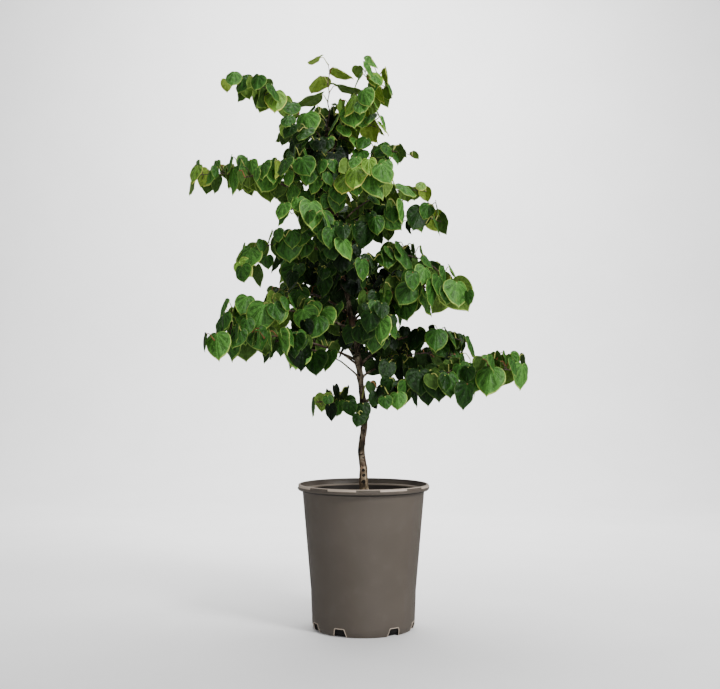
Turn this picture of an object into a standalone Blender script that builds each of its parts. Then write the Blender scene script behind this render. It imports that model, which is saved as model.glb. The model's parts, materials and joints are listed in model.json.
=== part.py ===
"""A young redbud tree in a plastic nursery pot.

One straight-stemmed sapling, about 1.24 m tall with its pot. Thin boughs leave the trunk all
round it and end where they enter their masses of foliage, whose heart-shaped leaves hang from
two-ranked twigs. Metres, +Z up, the front of the tree towards -Y. The origin is the middle of
the pot's flat underside.
"""

import math
import random
from collections import namedtuple

import bmesh
import bpy
from mathutils import Matrix, Vector
from mathutils.bvhtree import BVHTree

UP = Vector((0, 0, 1))

# Clearance between neighbouring pieces
GAP = 0.0003

# Pot: a turned shell with a rolled rim, a stacking ledge under it and notches to drain
POT_HEIGHT = 0.306
POT_SIDES = 36
FOOT_RADIUS = 0.1045
HEEL_RADIUS = 0.1103
HEEL_HEIGHT = 0.012
WAIST_RADIUS = 0.113
WAIST_HEIGHT = 0.082
NECK_RADIUS = 0.1315
NECK_HEIGHT = 0.291
RIM_RADIUS = 0.1425
RIM_DEPTH = 0.013
RIM_EDGE = 0.0015
LIP_WIDTH = 0.0065
LEDGE_RISE = 0.0038
WALL = 0.002
FLOOR = 0.003
NOTCH_ANGLES = (-148, -109, -70, -31, 31, 70, 109, 148)
NOTCH_TURN = 4
NOTCH_WIDTH = 0.030
NOTCH_HEIGHT = 0.0175
NOTCH_TAPER = 0.74
NOTCH_CORNER = 0.003
NOTCH_CUT = 0.030
NOTCH_BELOW = 0.010

# Soil: fills the pot to well under the rim
SOIL_TOP = 0.276

# Trunk: height, then its lean to the right and to the back at that height
TRUNK_SWAY = (
    (0.276, 0.001, 0.000),
    (0.335, 0.000, 0.002),
    (0.380, -0.0045, 0.004),
    (0.435, 0.002, 0.001),
    (0.487, -0.001, -0.003),
    (0.530, -0.0065, -0.005),
    (0.607, -0.0145, -0.002),
    (0.678, -0.0295, 0.004),
    (0.792, -0.0445, 0.008),
    (0.946, -0.0665, 0.004),
    (1.055, -0.0820, 0.000),
    (1.100, -0.0775, 0.002),
)
TRUNK_RADIUS = 0.0072
TRUNK_TIP_RADIUS = 0.0016
FLARE = 0.0016
FLARE_HEIGHT = 0.026
TRUNK_STEP = 0.036
TRUNK_SIDES = 8

# The leader's foot leans against the trunk's flat tip, so it stands this far above it
LEADER_CLEARANCE = 0.0009

# Limbs: an internode's length, its zigzag, and how thick a limb is for its length. A limb
# with a shorter bare length than BOUGH_FROM is all foliage.
NODE_STEP = 0.022
ZIGZAG = 9
LIMB_RADIUS = 0.0014
LIMB_RADIUS_PER_LENGTH = 0.005
LIMB_SHARE_OF_TRUNK = 0.6
BOUGH_FROM = 0.040
BOUGH_SIDES = 6
TWIG_RADIUS = 0.0013
TIP_RADIUS = 0.0008
TWIG_ANGLE = 48
SHORTEST_TWIG = 0.046

# Leaves: a blade's solid is as wide as it is long. High up the tree the leaves get smaller
# towards a limb's tip.
PETIOLE = 0.023
BLADE_THICKNESS = 0.0014
BLADE_WIDEST = 0.3
TIP_LEAF_SHRINK = 0.28
FULL_LEAVES_TO = 0.6
SMALL_TIPS_ABOVE = 0.84
LEAF_CLEARANCE = 0.0008
ROOT_BACK = 0.006
LEAF_TRIES = 16
LEAF_SHRINK = 0.015

# Each limb: where it leaves the trunk, its heading round the tree from +X, how steeply it
# rises at its foot and at its tip, its length, the length without leaves, its side twigs, the
# length of its leaves' blades, how far below level they hang, and its own random seed
Limb = namedtuple("Limb", "name height azimuth rise tip_rise length bare twigs blade hang seed")
LIMBS = (
    Limb("upper_left", 1.045, 191, 53, 10, 0.265, 0.045, 1, 0.061, 68, 6744),
    Limb("upper_right", 1.016, 333, 58, 48, 0.215, 0.040, 2, 0.056, 62, 4502),
    Limb("back_top", 0.997, 95, 64, 32, 0.195, 0.020, 1, 0.060, 60, 4321),
    Limb("front_left_top", 0.992, 217, 52, 20, 0.145, 0.020, 1, 0.054, 64, 6126),
    Limb("right_top", 0.969, 349, 52, -23, 0.200, 0.045, 2, 0.050, 50, 5124),
    Limb("back_left_top", 0.947, 132, 52, 32, 0.230, 0.020, 1, 0.052, 51, 5517),
    Limb("front_left_high", 0.901, 221, 57, 0, 0.175, 0.020, 1, 0.062, 75, 4107),
    Limb("left_high", 0.890, 176, 40, -6, 0.335, 0.045, 2, 0.066, 78, 4108),
    Limb("front_high", 0.902, 302, 50, 1, 0.170, 0.020, 1, 0.071, 71, 4809),
    Limb("right_high", 0.864, 14, 55, -7, 0.235, 0.045, 1, 0.057, 53, 4810),
    Limb("back_high", 0.812, 67, 53, 4, 0.290, 0.045, 1, 0.058, 44, 7815),
    Limb("front_left_mid", 0.814, 236, 40, 11, 0.175, 0.020, 1, 0.067, 71, 7001),
    Limb("right_mid", 0.795, 353, 64, -24, 0.255, 0.050, 1, 0.071, 76, 4145),
    Limb("left_mid", 0.761, 190, 58, -51, 0.275, 0.050, 2, 0.068, 77, 4834),
    Limb("back_left_mid", 0.723, 116, 34, -7, 0.330, 0.050, 1, 0.064, 71, 6200),
    Limb("front_mid", 0.718, 259, 48, 22, 0.160, 0.020, 1, 0.064, 79, 4737),
    Limb("right_arch", 0.710, 11, 78, -70, 0.320, 0.055, 1, 0.068, 67, 5632),
    Limb("left_broad", 0.634, 180, 32, -22, 0.295, 0.055, 2, 0.075, 74, 7529),
    Limb("back_left_low", 0.670, 138, 35, -4, 0.270, 0.045, 1, 0.058, 62, 4119),
    Limb("right_broad", 0.657, 341, 43, -18, 0.280, 0.055, 2, 0.077, 75, 7372),
    Limb("back_right_low", 0.651, 59, 56, 5, 0.280, 0.050, 1, 0.057, 52, 7844),
    Limb("front_low", 0.601, 291, 33, -5, 0.175, 0.020, 0, 0.061, 73, 5555),
    Limb("left_low", 0.570, 199, 26, -9, 0.325, 0.060, 2, 0.076, 80, 4173),
    Limb("back_low", 0.563, 104, 32, 18, 0.325, 0.050, 1, 0.059, 61, 4998),
    Limb("right_low", 0.559, 10, 49, -23, 0.265, 0.055, 3, 0.062, 61, 4625),
    Limb("front_left_low", 0.529, 206, 49, 1, 0.165, 0.080, 0, 0.070, 67, 4426),
    Limb("back_left_foot", 0.560, 160, 39, -2, 0.215, 0.080, 1, 0.058, 64, 7217),
    Limb("right_long", 0.480, 355, 30, -7, 0.355, 0.045, 4, 0.074, 80, 4893),
    Limb("back_right_foot", 0.532, 30, 35, -11, 0.270, 0.045, 2, 0.062, 69, 4329),
    Limb("front_right_foot", 0.476, 328, 20, 5, 0.090, 0.020, 0, 0.054, 85, 8907),
    Limb("left_foot", 0.461, 207, 21, 0, 0.120, 0.025, 2, 0.054, 85, 6799),
)
LEADER = Limb("leader", 1.100, 180, 88, 92, 0.126, 0, 0, 0.068, 18, 6086)

BARK = ("bark", (0.16, 0.115, 0.085), 0.8)
LEAF = ("leaf", (0.075, 0.16, 0.035), 0.45)
PLASTIC = ("pot_plastic", (0.12, 0.10, 0.082), 0.42)
EARTH = ("soil", (0.035, 0.022, 0.014), 0.95)


# The growth rule: where every limb, twig and leaf of the tree lies

Stem = namedtuple("Stem", "points radii")
Leaf = namedtuple("Leaf", "root base tip side face length")


def heading(azimuth, pitch):
    """The unit vector at this azimuth and rise, in degrees."""
    a, p = math.radians(azimuth), math.radians(pitch)
    return Vector((math.cos(a) * math.cos(p), math.sin(a) * math.cos(p), math.sin(p)))


def level_side(direction):
    """The level unit vector to the left of a direction, or +X where that stands upright."""
    side = UP.cross(direction)
    return side.normalized() if side.length > 0.2 else Vector((1, 0, 0))


def trunk_point(height):
    """The trunk's middle at this height, on a smooth curve through its sway."""
    rows = TRUNK_SWAY
    last = len(rows) - 2
    index = max(i for i in range(last + 1) if rows[i][0] <= height or i == 0)
    before, here = rows[max(index - 1, 0)], rows[index]
    after, beyond = rows[index + 1], rows[min(index + 2, last + 1)]
    t = (height - here[0]) / (after[0] - here[0])
    offset = []
    for axis in (1, 2):
        slope_in = (after[axis] - before[axis]) / (after[0] - before[0])
        slope_out = (beyond[axis] - here[axis]) / (beyond[0] - here[0])
        span = after[0] - here[0]
        offset.append(
            (2 * t**3 - 3 * t**2 + 1) * here[axis]
            + (t**3 - 2 * t**2 + t) * slope_in * span
            + (3 * t**2 - 2 * t**3) * after[axis]
            + (t**3 - t**2) * slope_out * span
        )
    return Vector((offset[0], offset[1], height))


def trunk_radius(height):
    """The trunk tapers evenly from the soil to its tip, with a flare at its root."""
    foot, top = TRUNK_SWAY[0][0], TRUNK_SWAY[-1][0]
    share = (height - foot) / (top - foot)
    even = TRUNK_RADIUS + (TRUNK_TIP_RADIUS - TRUNK_RADIUS) * share
    return even + FLARE * math.exp(-(height - foot) / FLARE_HEIGHT)


def walk(start, azimuth, rise, tip_rise, length):
    """Points of a zigzag stem, one to each node, that bends evenly from one rise to another."""
    count = max(2, round(length / NODE_STEP))
    points = [start]
    for index in range(count):
        along = heading(azimuth, rise + (tip_rise - rise) * (index + 0.5) / count)
        turn = math.tan(math.radians(ZIGZAG)) * (-1) ** index
        along = (along + level_side(along) * turn).normalized()
        points.append(points[-1] + along * (length / count))
    return points


def parted(points, distance):
    """A line cut in two at this distance along it: the points before and those after."""
    run = 0.0
    for index in range(1, len(points)):
        step = (points[index] - points[index - 1]).length
        if run + step > distance:
            cut = points[index - 1].lerp(points[index], (distance - run) / step)
            return points[:index] + [cut], [cut] + points[index:]
        run += step
    return points, [points[-1]]


def tapered(points, first, last):
    """A stem through the points, whose radius runs evenly from the first to the last."""
    steps = [(b - a).length for a, b in zip(points, points[1:])]
    whole = sum(steps)
    radii = [first + (last - first) * sum(steps[:i]) / whole for i in range(len(points))]
    return Stem(points, radii)


def outward(node, otherwise):
    """The level direction from the trunk to a node that stands clear of its axis."""
    middle = trunk_point(min(node.z, TRUNK_SWAY[-1][0]))
    out = Vector((node.x - middle.x, node.y - middle.y, 0))
    return out.normalized() if out.length > TRUNK_RADIUS else otherwise


def leaf_at(node, along, rank, limb, share, size, rng):
    """One leaf: its petiole leaves the node sideways and up, and the blade hangs from it."""
    side = level_side(along) * rank
    out = outward(node, side)
    stalk = side * 0.8 + along * rng.uniform(0.0, 0.6) + UP * rng.uniform(0.2, 0.9)
    stalk = stalk.normalized() * PETIOLE * rng.uniform(0.7, 1.1)
    turn = Vector((rng.uniform(-0.4, 0.4), rng.uniform(-0.4, 0.4), 0))
    level = side * rng.uniform(0.5, 0.9) + out * rng.uniform(0.3, 0.7) + turn
    level = Vector((level.x, level.y, 0)).normalized()
    hang = math.radians(limb.hang + rng.uniform(-14, 14))
    face = level * math.sin(hang) + UP * math.cos(hang)
    down = level * math.cos(hang) - UP * math.sin(hang)
    down = Matrix.Rotation(math.radians(rng.gauss(0, 16)), 3, face) @ down
    near_tip = max(0.0, share - FULL_LEAVES_TO) / (1 - FULL_LEAVES_TO)
    if limb.height < SMALL_TIPS_ABOVE:
        near_tip = 0.0
    length = limb.blade * size * rng.uniform(0.88, 1.14) * (1 - TIP_LEAF_SHRINK * near_tip)
    base = node + stalk
    root = node - along * ROOT_BACK
    return Leaf(root, base, base + down * length, down.cross(face), face, length)


def leaf_corners(leaf, swell=0.0):
    """The six corners of a leaf's solid: root, both flanks, tip, and its top and bottom."""
    reach = leaf.tip - leaf.base
    middle = leaf.base + reach * BLADE_WIDEST
    half = leaf.side * (leaf.length * 0.5 + swell)
    thick = leaf.face * (BLADE_THICKNESS / 2 + swell)
    sunk = (leaf.root - middle).normalized() * TWIG_RADIUS
    return (
        leaf.root + sunk,
        middle - half,
        leaf.tip + reach.normalized() * swell,
        middle + half,
        middle + thick,
        middle - thick,
    )


def folded_back(leaf):
    """Whether the stalk would run behind the blade, past its widest part."""
    reach = leaf.tip - leaf.base
    return (leaf.base + reach * BLADE_WIDEST - leaf.root).dot(reach) < 0


LEAF_FACES = (
    (0, 4, 1), (1, 4, 2), (2, 4, 3), (3, 4, 0),
    (1, 5, 0), (2, 5, 1), (3, 5, 2), (0, 5, 3),
)


class Room:
    """What already fills the space round the tree, so that nothing new grows into it."""

    def __init__(self):
        self.filled = []

    def add(self, corners, faces, owner):
        low = [min(c[i] for c in corners) for i in range(3)]
        high = [max(c[i] for c in corners) for i in range(3)]
        tree = BVHTree.FromPolygons(corners, faces)
        self.filled.append((low, high, tree, owner))

    def hits(self, corners, faces, passing=()):
        """Whether these faces meet anything but what belongs to the owners in passing."""
        low = [min(c[i] for c in corners) for i in range(3)]
        high = [max(c[i] for c in corners) for i in range(3)]
        tree = None
        for other_low, other_high, other, owner in self.filled:
            if owner in passing or any(
                low[i] > other_high[i] or high[i] < other_low[i] for i in range(3)
            ):
                continue
            tree = tree or BVHTree.FromPolygons(corners, faces)
            if tree.overlap(other):
                return True
        return False


def sleeve(start, end, radius):
    """Corners and faces of a square tube round a straight stretch of stem."""
    along = (end - start).normalized()
    one = along.orthogonal().normalized()
    two = along.cross(one)
    reach = radius * math.sqrt(2)
    corners = [p + r * reach for p in (start, end) for r in (one, two, -one, -two)]
    faces = [(i, (i + 1) % 4, (i + 1) % 4 + 4, i + 4) for i in range(4)]
    return corners, faces + [(3, 2, 1, 0), (4, 5, 6, 7)]


def add_stem(room, stem, owner):
    for index in range(len(stem.points) - 1):
        radius = max(stem.radii[index : index + 2]) + LEAF_CLEARANCE
        corners, faces = sleeve(stem.points[index], stem.points[index + 1], radius)
        room.add(corners, faces, (owner, index))


def leafed(room, stem, owner, limb, first_rank, rng, start=1):
    """Leaves at the nodes of a stem, alternately to each side, and one at its tip."""
    leaves = []
    last = len(stem.points) - 1
    for index in range(start, last + 1):
        rank = first_rank * (-1) ** index
        back = stem.points[index - 1]
        along = (stem.points[index] - back).normalized()
        own = {(owner, i) for i in (index - 1, index)}
        for attempt in range(LEAF_TRIES):
            size = 1 - LEAF_SHRINK * attempt
            leaf = leaf_at(stem.points[index], along, rank, limb, index / last, size, rng)
            corners = leaf_corners(leaf, LEAF_CLEARANCE)
            if not folded_back(leaf) and not room.hits(corners, LEAF_FACES, own):
                room.add(corners, LEAF_FACES, (owner, "leaf"))
                leaves.append(leaf)
                break
    return leaves


def limb_radius(limb):
    """How thick a limb is at the trunk: by its length, but thinner than the trunk there."""
    by_length = LIMB_RADIUS + LIMB_RADIUS_PER_LENGTH * limb.length
    return min(by_length, LIMB_SHARE_OF_TRUNK * trunk_radius(limb.height))


def limb_lines(limb):
    """A limb's line from the trunk, cut in mid internode near its bare length's end."""
    foot = trunk_point(limb.height)
    line = walk(foot, limb.azimuth, limb.rise, limb.tip_rise, limb.length)
    internode = (line[1] - line[0]).length
    return parted(line, (round(limb.bare / internode - 0.5) + 0.5) * internode)


def trunk_stem():
    """The trunk's own line from the soil to its tip."""
    foot, top = TRUNK_SWAY[0][0], TRUNK_SWAY[-1][0]
    count = round((top - foot) / TRUNK_STEP)
    heights = [foot + (top - foot) * i / count for i in range(count + 1)]
    return Stem([trunk_point(h) for h in heights], [trunk_radius(h) for h in heights])


def bough_and_stem(limb):
    """A limb's bough and the stem of its mass, a gap beyond it.

    A short limb has no bough: its mass's stem runs from the trunk's middle.
    """
    before, after = limb_lines(limb)
    thick = limb_radius(limb)
    if limb.bare < BOUGH_FROM:
        return None, tapered([before[0]] + after[1:], thick, TIP_RADIUS)
    joint = thick + (TIP_RADIUS - thick) * limb.bare / limb.length
    after[0] = after[0] + (after[1] - after[0]).normalized() * GAP
    return tapered(before, thick, joint), tapered(after, joint, TIP_RADIUS)


def leader_stem():
    """The young shoot that carries on above the trunk's tip."""
    foot = trunk_point(LEADER.height)
    line = walk(foot, LEADER.azimuth, LEADER.rise, LEADER.tip_rise, LEADER.length)
    line[0] = line[0] + (line[1] - line[0]).normalized() * LEADER_CLEARANCE
    return tapered(line, TRUNK_TIP_RADIUS, TIP_RADIUS)


def side_twig(stem, limb, index, rng):
    """One of a limb's side twigs: these leave its stem to each side in turn."""
    share = 0.15 + 0.6 * (index + rng.uniform(0.2, 0.8)) / limb.twigs
    at = max(1, min(len(stem.points) - 2, round(share * (len(stem.points) - 1))))
    along = stem.points[at] - stem.points[at - 1]
    turn = TWIG_ANGLE * (-1) ** index * rng.uniform(0.8, 1.2)
    azimuth = math.degrees(math.atan2(along.y, along.x)) + turn
    reach = max(SHORTEST_TWIG, limb.length * (1 - share) * rng.uniform(0.35, 0.55))
    line = walk(stem.points[at], azimuth, rng.uniform(-5, 25), rng.uniform(-25, 5), reach)
    return tapered(line, TWIG_RADIUS, TIP_RADIUS)


def blocked(room, twig):
    """Whether a twig beyond its first internode would meet anything."""
    pairs = zip(twig.points[1:], twig.points[2:])
    return any(room.hits(*sleeve(a, b, TWIG_RADIUS + GAP)) for a, b in pairs)


def grow():
    """The trunk, the boughs, and each mass's stems and leaves, by limb name."""
    room = Room()
    trunk = trunk_stem()
    add_stem(room, trunk, "trunk")
    boughs, stems = {}, {LEADER.name: leader_stem()}
    for limb in LIMBS:
        bough, stems[limb.name] = bough_and_stem(limb)
        if bough:
            boughs[limb.name] = bough
            add_stem(room, bough, limb.name + " bough")
    for name, stem in stems.items():
        add_stem(room, stem, name)

    masses = {}
    for limb in (LEADER, *LIMBS):
        rng = random.Random(limb.seed)
        stem = stems[limb.name]
        twigs, leaves = [stem], []
        for index in range(limb.twigs):
            twig = side_twig(stem, limb, index, rng)
            if blocked(room, twig):
                continue
            owner = f"{limb.name} twig {index}"
            add_stem(room, twig, owner)
            twigs.append(twig)
            leaves += leafed(room, twig, owner, limb, 1, rng)
        leaves += leafed(room, stem, limb.name, limb, -1, rng)
        masses[limb.name] = (twigs, leaves)
    return trunk, boughs, masses


# Blender objects from the sizes above


def collection(name):
    made = bpy.data.collections.new(name)
    bpy.context.scene.collection.children.link(made)
    return made


def guide(obj):
    """Marks a cutter or a profile that isn't part of the tree."""
    obj.hide_render = True
    obj.display_type = "WIRE"
    return obj


def painted(name, colour, roughness):
    material = bpy.data.materials.new(name)
    material.use_nodes = True
    shader = material.node_tree.nodes["Principled BSDF"]
    shader.inputs["Base Color"].default_value = (*colour, 1)
    shader.inputs["Roughness"].default_value = roughness
    shader.inputs["Metallic"].default_value = 0
    return material


def turned(name, profile, home, material):
    """A closed solid of revolution from (radius, height) points, down its outer side."""
    mesh = bpy.data.meshes.new(name)
    edges = [(i, i + 1) for i in range(len(profile) - 1)]
    mesh.from_pydata([(r, 0, z) for r, z in profile], edges, [])
    obj = bpy.data.objects.new(name, mesh)
    home.objects.link(obj)
    mesh.materials.append(material)
    screw = obj.modifiers.new("turn", "SCREW")
    screw.steps = screw.render_steps = POT_SIDES
    screw.use_merge_vertices = True
    screw.merge_threshold = 0.0001
    screw.use_smooth_shade = True
    return obj


def rod(name, stem, home, material, sides=None, profile=None):
    """A tapering limb along a stem: a bevelled curve with filled caps."""
    curve = bpy.data.curves.new(name, "CURVE")
    curve.dimensions = "3D"
    curve.use_fill_caps = True
    if profile:
        curve.bevel_mode = "OBJECT"
        curve.bevel_object = profile
    else:
        curve.bevel_depth = 1
        curve.bevel_resolution = sides // 2 - 2
    spline = curve.splines.new("POLY")
    spline.points.add(len(stem.points) - 1)
    for point, place, radius in zip(spline.points, stem.points, stem.radii):
        point.co = (*place, 1)
        point.radius = radius
    curve.materials.append(material)
    obj = bpy.data.objects.new(name, curve)
    home.objects.link(obj)
    return obj


def as_mesh(curve_obj, home):
    """The curve's own shape as a mesh object with welded caps, in the curve's place."""
    name, place = curve_obj.name, curve_obj.matrix_world.copy()
    graph = bpy.context.evaluated_depsgraph_get()
    mesh = bpy.data.meshes.new_from_object(curve_obj.evaluated_get(graph))
    bpy.data.objects.remove(curve_obj)
    shape = bmesh.new()
    shape.from_mesh(mesh)
    bmesh.ops.remove_doubles(shape, verts=shape.verts, dist=0.00001)
    bmesh.ops.recalc_face_normals(shape, faces=shape.faces)
    shape.to_mesh(mesh)
    shape.free()
    obj = bpy.data.objects.new(name, mesh)
    obj.matrix_world = place
    home.objects.link(obj)
    return obj


def triangle_profile(home):
    """A three-cornered cross-section of radius 1, for the twigs."""
    curve = bpy.data.curves.new("twig_profile", "CURVE")
    curve.dimensions = "2D"
    spline = curve.splines.new("POLY")
    spline.points.add(2)
    spline.use_cyclic_u = True
    for index, point in enumerate(spline.points):
        angle = math.tau * index / 3
        point.co = (math.cos(angle), math.sin(angle), 0, 1)
    obj = guide(bpy.data.objects.new("twig_profile", curve))
    home.objects.link(obj)
    return obj


def leaf_solid(name, leaf, home):
    """A leaf with its petiole as one thin eight-faced solid."""
    mesh = bpy.data.meshes.new(name)
    mesh.from_pydata([tuple(c) for c in leaf_corners(leaf)], [], LEAF_FACES)
    shape = bmesh.new()
    shape.from_mesh(mesh)
    bmesh.ops.recalc_face_normals(shape, faces=shape.faces)
    shape.to_mesh(mesh)
    shape.free()
    obj = bpy.data.objects.new(name, mesh)
    home.objects.link(obj)
    return obj


def largest_body(mesh):
    """Leaves only the mesh's largest outward body: no loose scrap, no sealed hollow."""
    shape = bmesh.new()
    shape.from_mesh(mesh)
    bmesh.ops.triangulate(shape, faces=shape.faces)
    bodies, seen = [], set()
    for first in shape.faces:
        if first in seen:
            continue
        body, queue = [], [first]
        seen.add(first)
        while queue:
            face = queue.pop()
            body.append(face)
            for edge in face.edges:
                for near in edge.link_faces:
                    if near not in seen:
                        seen.add(near)
                        queue.append(near)
        volume = sum(
            f.verts[0].co.dot(f.verts[1].co.cross(f.verts[2].co)) for f in body
        )
        bodies.append((volume, body))
    bodies.sort(key=lambda pair: pair[0])
    spare = [face for _, body in bodies[:-1] for face in body]
    bmesh.ops.delete(shape, geom=spare, context="FACES")
    loose = [v for v in shape.verts if not v.link_faces]
    bmesh.ops.delete(shape, geom=loose, context="VERTS")
    shape.to_mesh(mesh)
    shape.free()


def applied(obj):
    """Makes the modifiers' result the object's own mesh, as one body in its own material."""
    material = obj.data.materials[0]
    graph = bpy.context.evaluated_depsgraph_get()
    mesh = bpy.data.meshes.new_from_object(obj.evaluated_get(graph))
    obj.modifiers.clear()
    obj.data = mesh
    largest_body(mesh)
    mesh.materials.clear()
    mesh.materials.append(material)


def clear_of_trunk(obj, trunk_clearance):
    """Cuts a limb's foot to the trunk's own shape, a gap off it."""
    trim = obj.modifiers.new("foot", "BOOLEAN")
    trim.operation = "DIFFERENCE"
    trim.object = trunk_clearance


def build_mass(name, mass, home, guides, profile, material, trunk_clearance):
    """One mass of foliage: its twigs and leaves joined to its stem by a Boolean union."""
    twigs, leaves = mass
    parts = collection(name + "_parts")
    stem = as_mesh(rod(name, twigs[0], guides, material, profile=profile), home)
    for index, twig in enumerate(twigs[1:]):
        as_mesh(rod(f"{name}_twig_{index}", twig, guides, material, profile=profile), parts)
    for index, leaf in enumerate(leaves):
        leaf_solid(f"{name}_leaf_{index}", leaf, parts)
    union = stem.modifiers.new("fuse", "BOOLEAN")
    union.operation = "UNION"
    union.operand_type = "COLLECTION"
    union.collection = parts
    union.solver = "MANIFOLD"
    clear_of_trunk(stem, trunk_clearance)
    applied(stem)
    for obj in list(parts.objects):
        bpy.data.objects.remove(obj)
    bpy.data.collections.remove(parts)


def pot_wall_radius(height):
    """The outside of the pot's wall: steep under the waist, flaring to the neck above it."""
    if height < WAIST_HEIGHT:
        share = (height - HEEL_HEIGHT) / (WAIST_HEIGHT - HEEL_HEIGHT)
        return HEEL_RADIUS + (WAIST_RADIUS - HEEL_RADIUS) * share
    share = (height - WAIST_HEIGHT) / (NECK_HEIGHT - WAIST_HEIGHT)
    return WAIST_RADIUS + (NECK_RADIUS - WAIST_RADIUS) * share


def pot_profile():
    """The pot's section: up its inside, over the rolled rim, down its outside and under."""
    edge = RIM_EDGE
    under = POT_HEIGHT - RIM_DEPTH
    inner = RIM_RADIUS - LIP_WIDTH
    inside = [
        (0, FLOOR),
        (FOOT_RADIUS - WALL, FLOOR),
        (HEEL_RADIUS - WALL, HEEL_HEIGHT),
        (WAIST_RADIUS - WALL, WAIST_HEIGHT),
        (NECK_RADIUS - WALL, NECK_HEIGHT + WALL / 2),
    ]
    ledge = [
        (NECK_RADIUS - WALL / 2, NECK_HEIGHT + WALL * 1.5),
        (inner - edge, NECK_HEIGHT + LEDGE_RISE),
    ]
    rim = [
        (inner - edge / 2, POT_HEIGHT - edge),
        (inner + edge / 2, POT_HEIGHT),
        (RIM_RADIUS - edge, POT_HEIGHT),
        (RIM_RADIUS, POT_HEIGHT - edge),
        (RIM_RADIUS, under + edge),
        (RIM_RADIUS - edge / 2, under),
        (RIM_RADIUS - edge * 2, under),
    ]
    outside = [
        (NECK_RADIUS + edge, NECK_HEIGHT + edge),
        (NECK_RADIUS, NECK_HEIGHT),
        (WAIST_RADIUS, WAIST_HEIGHT),
        (HEEL_RADIUS, HEEL_HEIGHT),
        (FOOT_RADIUS, 0),
        (0, 0),
    ]
    return inside + ledge + rim + outside


def notch_cutter(angle, home):
    """A wedge with a rounded top, through the corner between the pot's wall and its floor."""
    shape = bmesh.new()
    bmesh.ops.create_cube(shape, size=1)
    for corner in shape.verts:
        low = corner.co.z < 0
        corner.co.x *= NOTCH_CUT
        corner.co.y *= NOTCH_WIDTH * (1 if low else NOTCH_TAPER)
        corner.co.z = -NOTCH_BELOW if low else NOTCH_HEIGHT
    tops = [e for e in shape.edges if all(v.co.z > 0 for v in e.verts)]
    along_x = [e for e in tops if abs(e.verts[0].co.y - e.verts[1].co.y) < WALL]
    bmesh.ops.bevel(shape, geom=along_x, offset=NOTCH_CORNER, segments=2, affect="EDGES")
    mesh = bpy.data.meshes.new("notch")
    shape.to_mesh(mesh)
    shape.free()
    obj = guide(bpy.data.objects.new("notch", mesh))
    turn = math.radians(angle + NOTCH_TURN - 90)
    middle = (HEEL_RADIUS + WAIST_RADIUS) / 2
    obj.location = (math.cos(turn) * middle, math.sin(turn) * middle, 0)
    obj.rotation_euler = (0, 0, turn)
    home.objects.link(obj)
    return obj


def build_pot(home):
    pot = turned("pot", pot_profile(), home, painted(*PLASTIC))
    notches = collection("notches")
    for angle in NOTCH_ANGLES:
        notch_cutter(angle, notches)
    cut = pot.modifiers.new("notches", "BOOLEAN")
    cut.operation = "DIFFERENCE"
    cut.operand_type = "COLLECTION"
    cut.collection = notches


def build_soil(home):
    """The potting mix: the pot's inside, clear of it all round."""
    inset = WALL + GAP
    profile = [
        (0, SOIL_TOP),
        (pot_wall_radius(SOIL_TOP) - inset, SOIL_TOP),
        (WAIST_RADIUS - inset, WAIST_HEIGHT),
        (HEEL_RADIUS - inset, HEEL_HEIGHT),
        (FOOT_RADIUS - inset - GAP, FLOOR + GAP),
        (0, FLOOR + GAP),
    ]
    turned("soil", profile, home, painted(*EARTH))


def build_trunk(trunk, home, guides, material):
    """The trunk, and a slightly thicker copy that will trim the boughs' feet clear of it."""
    points = [p.copy() for p in trunk.points]
    points[0].z = SOIL_TOP + GAP
    own = Stem(points, trunk.radii)
    as_mesh(rod("trunk", own, guides, material, sides=TRUNK_SIDES), home)
    wide = Stem(trunk.points, [r + GAP for r in trunk.radii])
    cutter = rod("trunk_clearance", wide, guides, material, sides=TRUNK_SIDES)
    return guide(as_mesh(cutter, guides))


def build_bough(name, stem, home, guides, material, trunk_clearance):
    """One bough, a bare tapering limb."""
    bough = as_mesh(rod("bough_" + name, stem, guides, material, sides=BOUGH_SIDES), home)
    clear_of_trunk(bough, trunk_clearance)
    applied(bough)


def build():
    for old in list(bpy.data.objects):
        bpy.data.objects.remove(old)
    home = collection("redbud_tree")
    guides = collection("guides")
    bark, green = painted(*BARK), painted(*LEAF)
    profile = triangle_profile(guides)
    trunk, boughs, masses = grow()
    build_pot(home)
    build_soil(home)
    trunk_clearance = build_trunk(trunk, home, guides, bark)
    for name, stem in boughs.items():
        build_bough(name, stem, home, guides, bark, trunk_clearance)
    for name, mass in masses.items():
        build_mass("foliage_" + name, mass, home, guides, profile, green, trunk_clearance)
    for obj in home.objects:
        obj.data.shade_smooth()
        obj.data.set_sharp_from_angle(angle=math.radians(40))


if __name__ == "__main__":
    build()
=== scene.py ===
"""Looks of the young redbud tree in its plastic nursery pot.

The trunk, boughs and leaves grow by the same seeded rule as in the part's source, so each leaf
lies where its solid does. Here the rule goes on to fine shoots, petioles, buds and smaller
leaves. Metres, +Z up, the front of the tree towards -Y.
"""

import json
import math
import random
from collections import namedtuple

import bmesh
import bpy
import numpy as np
from mathutils import Matrix, Vector, noise
from mathutils.bvhtree import BVHTree

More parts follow.
